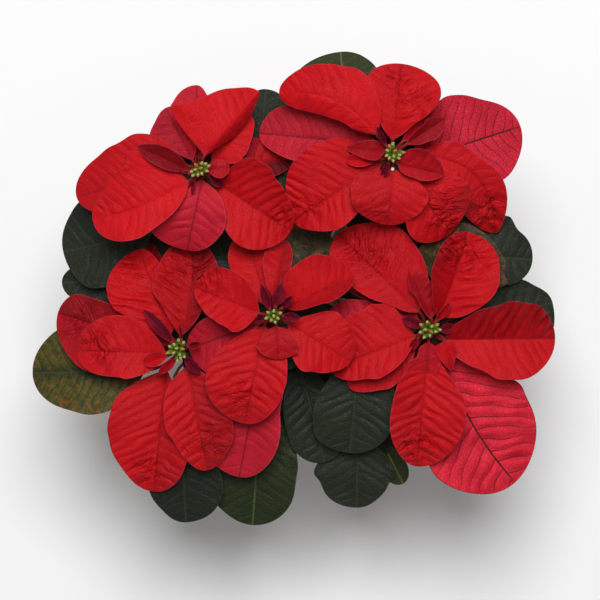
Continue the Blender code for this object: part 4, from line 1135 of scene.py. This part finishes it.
# Cyathia
# The true flowers: a cluster of waxy green cups at the middle of each head, each on its own short stalk,
# with a pale fringe at its mouth, a yellow gland on its outer side and, if it is open, orange red stamens.
CUP_TIPS = {
    "rear_left": [(-82, 89, 0), (-79, 90.5, 0.3), (-81, 86, 0), (-77, 86.5, 0), (-74, 95.5, 0),
                  (-71, 95, 0), (-68.5, 93.5, 0.3), (-70, 89.5, 0), (-78.5, 94, 1), (-75, 91.5, 1),
                  (-74, 87.5, 0)],
    "rear_right": [(66.5, 108.5, 0.6), (69, 110, 0), (71, 104.5, 1), (64.5, 101, 0), (66.5, 99, 0),
                   (77.5, 103.5, 0.3), (74, 99, 0.1), (69.5, 97, 0.1), (65, 105, 0.2), (70, 100.5, 0),
                   (74.5, 101.5, 0)],
    "centre": [(-24.5, -16.5, 0), (-20, -15.5, 0), (-15, -17, 0), (-26, -21, 0), (-20, -19.5, 0),
               (-17, -21, 0), (-22, -22.5, 0.4), (-19, -24, 0)],
    "front_left": [(-98.5, -42, 0), (-95, -40.5, 0), (-93, -43.5, 0.1), (-100, -47, 0.4), (-95.5, -47, 0.2),
                   (-90.5, -48.5, 0), (-92.5, -53, 0), (-90, -51, 0), (-87, -50, 0), (-91.5, -37, 0.2),
                   (-87.5, -39, 0), (-88.5, -44, 0.7)],
    "front_right": [(90, -25.5, 0), (95, -23.5, 0), (103, -25.5, 0.2), (98.5, -27, 0.1), (93.5, -29.5, 0.1),
                    (101.5, -31, 0), (92.5, -35.5, 0), (98, -31, 1), (105, -29.5, 0), (89.5, -31.5, 0),
                    (97, -34, 0)],
}
CUP_SIDES = 12
CUP_ROWS = 16
CUP_RISE = 10.4
CUP_FALL = 0.055
CUP_SPREAD = 0.3


def waxy_cup():
    """Waxy green cup: yellow green and glossy, cream at its fringe and gland, orange where it flushes."""
    material = new_material("cyathium, waxy green", {"Roughness": 0.38, "IOR": 1.45})
    place = own_place(material)
    cloud = remap(patches(place, 1.8, 3), 0.35, 0.65)
    colour = blend(cloud, "#35500F", "#62781E")
    colour = blend(stored(material, "pale"), colour, "#D2C47C")
    colour = blend(stored(material, "flush"), colour, "#C8481E")
    return dress(material, colour, bumped(patches(place, 0.35), 0.3, 0.0001))


def placed_ball(sides, levels, axes, place):
    """A closed ball stretched along three axes, given as rows, and moved to its place."""
    axes = np.array(axes)
    return skin(ball(sides, levels) @ axes + place, place - axes[2], place + axes[2])


def make_cup(centre, top, tip_x, tip_y, flush):
    """One cup from its stalk to its fringe, as closed shapes, with how pale and how flushed each part is.

    With e for eased_step, its radius is 0.6 + 1.5 e(u, 0.2, 0.55) (1 - 0.8 e(u, 0.66, 1)) mm, and five
    lobes of up to a fifth of it show at the mouth.
    """
    away = np.array([tip_x - centre[0], tip_y - centre[1], 0.0])
    reach = np.linalg.norm(away)
    outward = away / max(reach, 0.5)
    tip = in_place((tip_x, tip_y, top + CUP_RISE - CUP_FALL * reach**2))
    foot = in_place((centre[0] + CUP_SPREAD * away[0], centre[1] + CUP_SPREAD * away[1], top + 0.4))
    u = np.linspace(0, 1, CUP_ROWS)
    bend = np.array([0, 0, -0.6])
    path = foot + u[:, None] * (tip - foot) + (4 * u * (1 - u))[:, None] * bend
    axis = unit(tip - foot)
    side = unit(np.cross(axis, (0.3, 0.1, 1.0)))
    third = np.cross(axis, side)
    radius = 0.6 + 1.5 * eased_step(u, 0.2, 0.55) * (1 - 0.8 * eased_step(u, 0.66, 1.0))
    lobes = 1 + (0.05 + 0.16 * eased_step(u, 0.88, 1.0))[:, None] * np.cos(5 * all_round(CUP_SIDES))
    rings = swept(path, np.tile(side, (CUP_ROWS, 1)), radius[:, None] * lobes, CUP_SIDES)
    parts = [skin(rings, path[0], tip - 0.5 * axis)]
    rim = np.repeat(eased_step(u, 0.86, 1.0), CUP_SIDES)
    pale = [np.append(0.6 * rim, [0, 0.3])]
    red = [np.append(flush * rim, [0, flush])]

    def add_ball(sides, levels, axes, place, paleness, redness):
        """Add one closed ball, with how pale and how flushed it is."""
        parts.append(placed_ball(sides, levels, axes, place))
        pale.append(np.full(len(parts[-1][0]), paleness))
        red.append(np.full(len(parts[-1][0]), redness))

    across = outward - (outward @ axis) * axis
    across = across / max(np.linalg.norm(across), 1e-6) if reach > 1 else side
    gland_axes = [0.75 * np.cross(axis, across), 0.4 * across, 0.55 * axis]
    add_ball(12, 6, gland_axes, tip - 0.9 * axis + 1.2 * across, 0.8, 0.35 * flush)
    for k in range(5):
        a = math.tau * k / 5
        petal = math.cos(a) * side + math.sin(a) * third
        petal_axes = [0.28 * petal, 0.26 * np.cross(axis, petal), 0.45 * axis]
        add_ball(6, 4, petal_axes, tip + 0.5 * petal, 0.9, flush)
    for k in range(4):
        a = math.tau * k / 4 + tip_x
        stamen = math.cos(a) * side + math.sin(a) * third
        head = tip + 0.3 * stamen + (0.9 + 0.5 * flush) * axis
        add_ball(6, 4, [0.24 * side, 0.24 * third, 0.28 * axis], head, 0.7, 0.5 * flush)
        add_ball(5, 4, [0.1 * side, 0.1 * third, 0.8 * axis], head - 0.8 * axis, 0.4, 0.8)
    return parts, pale, red


cup_finish = waxy_cup()
for shoot, tips in CUP_TIPS.items():
    *centre, top = SHOOTS[shoot]["top"]
    cups = [make_cup(centre, top, *tip) for tip in tips]
    parts, pale, red = (sum(lists, []) for lists in zip(*cups))
    cluster = put_mesh(f"{shoot}_cups", *gather(parts), cup_finish)
    give(cluster, "pale", np.concatenate(pale))
    give(cluster, "flush", np.concatenate(red))
    stand_for(cluster, "cyathia", f"{shoot}_cyathia")

# White drop
# A small white drop, wet and glossy, sits where a stalk of the rear right head leaves its shoot.
WHITE_DROP_PLACE = (69, 91, 293)
WHITE_DROP_RADIUS = 1.3


def white_wet_finish():
    """White and wet, with a little light scattered inside."""
    values = {"Base Color": linear("#F2F0E8"), "Roughness": 0.12}
    values |= {"Subsurface Weight": 0.2, "Subsurface Radius": (MM, MM, MM)}
    return new_material("white drop, wet", values)


white_drop_axes = np.diag([WHITE_DROP_RADIUS, WHITE_DROP_RADIUS, 0.8 * WHITE_DROP_RADIUS])
white_drop_piece = put_mesh("white_drop", *placed_ball(20, 12, white_drop_axes, in_place(WHITE_DROP_PLACE)), white_wet_finish())
stand_for(white_drop_piece, "stem")

# Green leaves
# The leaves below the heads are the same blades with chlorophyll: dark green, duller and stiffer, on longer
# stalks. The oldest have turned olive and rust where the light reaches them.


def leaf(base, tip, heights, widths, grows_at, look="leaf"):
    """A row for a small leaf whose stalk leaves its shoot at the height grows_at."""
    return small_blade(base, tip, heights, widths, grows_at=grows_at, look=look)


LEAVES = {
    "rear_left": {
        1: blade((-30, 108), (-26, 151), (246, 246, 236), (-44, 125, -40, 141), (-13, 122, -10, 141),
                 grows_at=225, look="leaf"),
        3: blade((-112, 44), (-178, 29), (240, 238, 222), (-130, 14, -150, 2, -168, 5, -178, 16),
                 (-130, 64, -150, 69, -167, 67, -175, 51), grows_at=220, look="leaf", pleat=0.4),
        13: leaf((-118, 8), (-179, 6), (224, 222, 212), (16, 14), 205),
        14: leaf((-88, 88), (-146, 92), (216, 214, 202), 18, 200),
        15: leaf((-74, 104), (-70, 146), (226, 224, 214), (16, 15), 210),
        16: leaf((-62, 74), (-22, 40), (232, 230, 220), 18, 215),
        17: leaf((-84, 76), (-112, 62), (262, 262, 256), 15, 245),
        18: leaf((-70, 72), (-58, 22), (250, 248, 238), 17, 230),
        41: leaf((-84, 54), (-124, 24), (238, 236, 230), 15, 222),
        42: leaf((-34, 92), (12, 76), (241, 240, 232), 14, 222),
    },
    "rear_right": {
        2: blade((35, 130), (30, 179), (254, 253, 240), (10, 145, -6, 158, 2, 169, 14, 176),
                 (58, 145, 62, 158, 56, 168, 44, 177), grows_at=235, look="leaf_light"),
        10: blade((125, 27), (174, 23), (228, 227, 219), (138, 50, 153, 56, 167, 42),
                  (140, 5, 155, 4, 167, 9), grows_at=222, look="leaf"),
        19: leaf((58, 116), (12, 138), (222, 220, 208), 17, 205),
        20: leaf((84, 106), (138, 114), (226, 224, 212), 19, 210),
        21: leaf((78, 84), (104, 46), (238, 236, 226), (18, 25), 215),
        22: leaf((70, 90), (62, 40), (254, 252, 242), 17, 235),
        23: leaf((82, 112), (112, 134), (248, 248, 240), 12, 236),
        43: leaf((104, 66), (138, 42), (238, 237, 230), 13, 220),
        47: leaf((60, 84), (38, 44), (246, 244, 236), 10, 228),
    },
    "centre": {
        6: blade((-30, -92), (-36, -176), (213, 209, 192), (-8, -105, -3, -125, -4, -146, -9, -163),
                 (-60, -110, -75, -135, -71, -153, -54, -168), grows_at=185, look="leaf_green"),
        7: blade((-2, -50), (18, -129), (226, 224, 211), (24, -80, 32, -100, 30, -120),
                 (-12, -78, -13, -90, -10, -106, -3, -122), grows_at=200, look="leaf", pleat=0.4),
        24: leaf((0, 4), (8, 50), (240, 238, 228), (19, 20), 222, "leaf_rusty"),
        25: leaf((-40, 2), (-66, 42), (244, 242, 232), 17, 226),
        26: leaf((-30, -42), (-46, -96), (222, 219, 206), 22, 200),
        27: leaf((-8, -20), (40, -38), (236, 235, 226), 19, 218),
        28: leaf((-44, -14), (-84, -22), (226, 224, 214), 17, 206),
        29: leaf((-4, -8), (36, 22), (230, 229, 220), 17, 212),
        44: leaf((4, -48), (38, -86), (222, 221, 212), 15, 202),
        45: leaf((-20, -70), (-8, -112), (208, 206, 196), 11, 190),
        49: leaf((-16, -48), (-7, -92), (226, 224, 218), 13, 206),
    },
    "front_left": {
        4: blade((-117, -60), (-201, -62), (238, 236, 219),
                 (-130, -80, -142, -90, -157, -93, -175, -89, -194, -79),
                 (-135, -32, -160, -24, -180, -28, -196, -44), grows_at=212, look="leaf_mottled",
                 pleat=0.5),
        5: blade((-89, -112), (-86, -174), (222, 219, 203), (-64, -130, -58, -148, -62, -160, -71, -172),
                 (-108, -125, -115, -145, -111, -156, -100, -168), grows_at=195, look="leaf", deep=0.45),
        30: leaf((-106, -34), (-158, -26), (214, 212, 200), (17, 24), 198),
        31: leaf((-96, -70), (-104, -128), (212, 210, 198), 22, 192),
        32: leaf((-86, -28), (-92, 20), (236, 234, 224), 17, 220),
        33: leaf((-76, -54), (-58, -84), (230, 228, 220), 17, 214),
    },
    "front_right": {
        8: blade((44, -48), (37, -122), (238, 237, 223), (66, -66, 72, -85, 68, -105, 56, -118),
                 (20, -68, 11, -85, 10, -100, 18, -116), grows_at=218, look="leaf", pleat=0.4),
        9: blade((43, -108), (42, -163), (206, 204, 191), (62, -122, 70, -134, 65, -148, 53, -160),
                 (20, -122, 11, -132, 17, -149, 28, -160), grows_at=185, look="leaf", pleat=0.4),
        11: blade((106, 2), (126, 50), (252, 255, 255), (95, 12, 89, 28, 100, 40, 112, 46),
                  (135, 0, 150, 2, 154, 18, 147, 38, 136, 48), grows_at=240, lift=(8, 2),
                  look="leaf_rusty"),
        12: blade((138, -22), (189, -9), (219, 218, 210), (150, 4, 165, 9, 178, 2),
                  (150, -44, 175, -42, 190, -27), grows_at=200, look="leaf"),
        34: leaf((62, -115), (77, -145), (200, 199, 190), (9, 10), 186, "leaf_light"),
        35: leaf((112, -44), (150, -92), (214, 211, 198), 21, 194),
        36: leaf((88, -50), (78, -104), (220, 218, 206), 21, 200),
        37: leaf((84, -30), (42, -44), (238, 236, 226), 18, 222),
        38: leaf((86, -14), (50, 24), (236, 234, 224), 18, 220),
        39: leaf((112, -22), (150, -4), (240, 238, 228), 15, 226),
        40: leaf((108, -48), (120, -78), (237, 235, 227), 14, 223),
        46: leaf((60, -90), (73, -126), (204, 203, 196), 12, 190),
        48: leaf((96, -6), (84, 50), (240, 239, 232), 12, 228),
    },
}
for shoot, rows in LEAVES.items():
    make_blades(shoot, "leaf", rows)

# Lower leaves
# The oldest leaves hang low on the shoots, just over the pot's rim, and face the gaps between the shoots.
LOWER_REACH = 20.0
LOWER_LENGTH = 52.0
LOWER_WIDTH = 16
LOWER_DROOP = 17.0
LOWER_LEAVES = {
    "rear_left": [(205, 186), (52, 176)],
    "rear_right": [(135, 190), (-20, 178)],
    "centre": [(248, 182), (288, 170), (325, 178), (20, 172)],
    "front_left": [(120, 184), (285, 176)],
    "front_right": [(65, 186), (262, 178)],
}
lower_number = 0
for shoot, places in LOWER_LEAVES.items():
    lower_rows = {}
    for degrees, z in places:
        lower_number += 1
        root = shoot_at_height(shoot, z - 8)[0][:2]
        base, tip = (root + reach * heading(degrees) for reach in (LOWER_REACH, LOWER_REACH + LOWER_LENGTH))
        lower_rows[lower_number] = leaf(base, tip, (z, z - 1, z - LOWER_DROOP), LOWER_WIDTH, z - 8)
    make_blades(shoot, "lower_leaf", lower_rows)
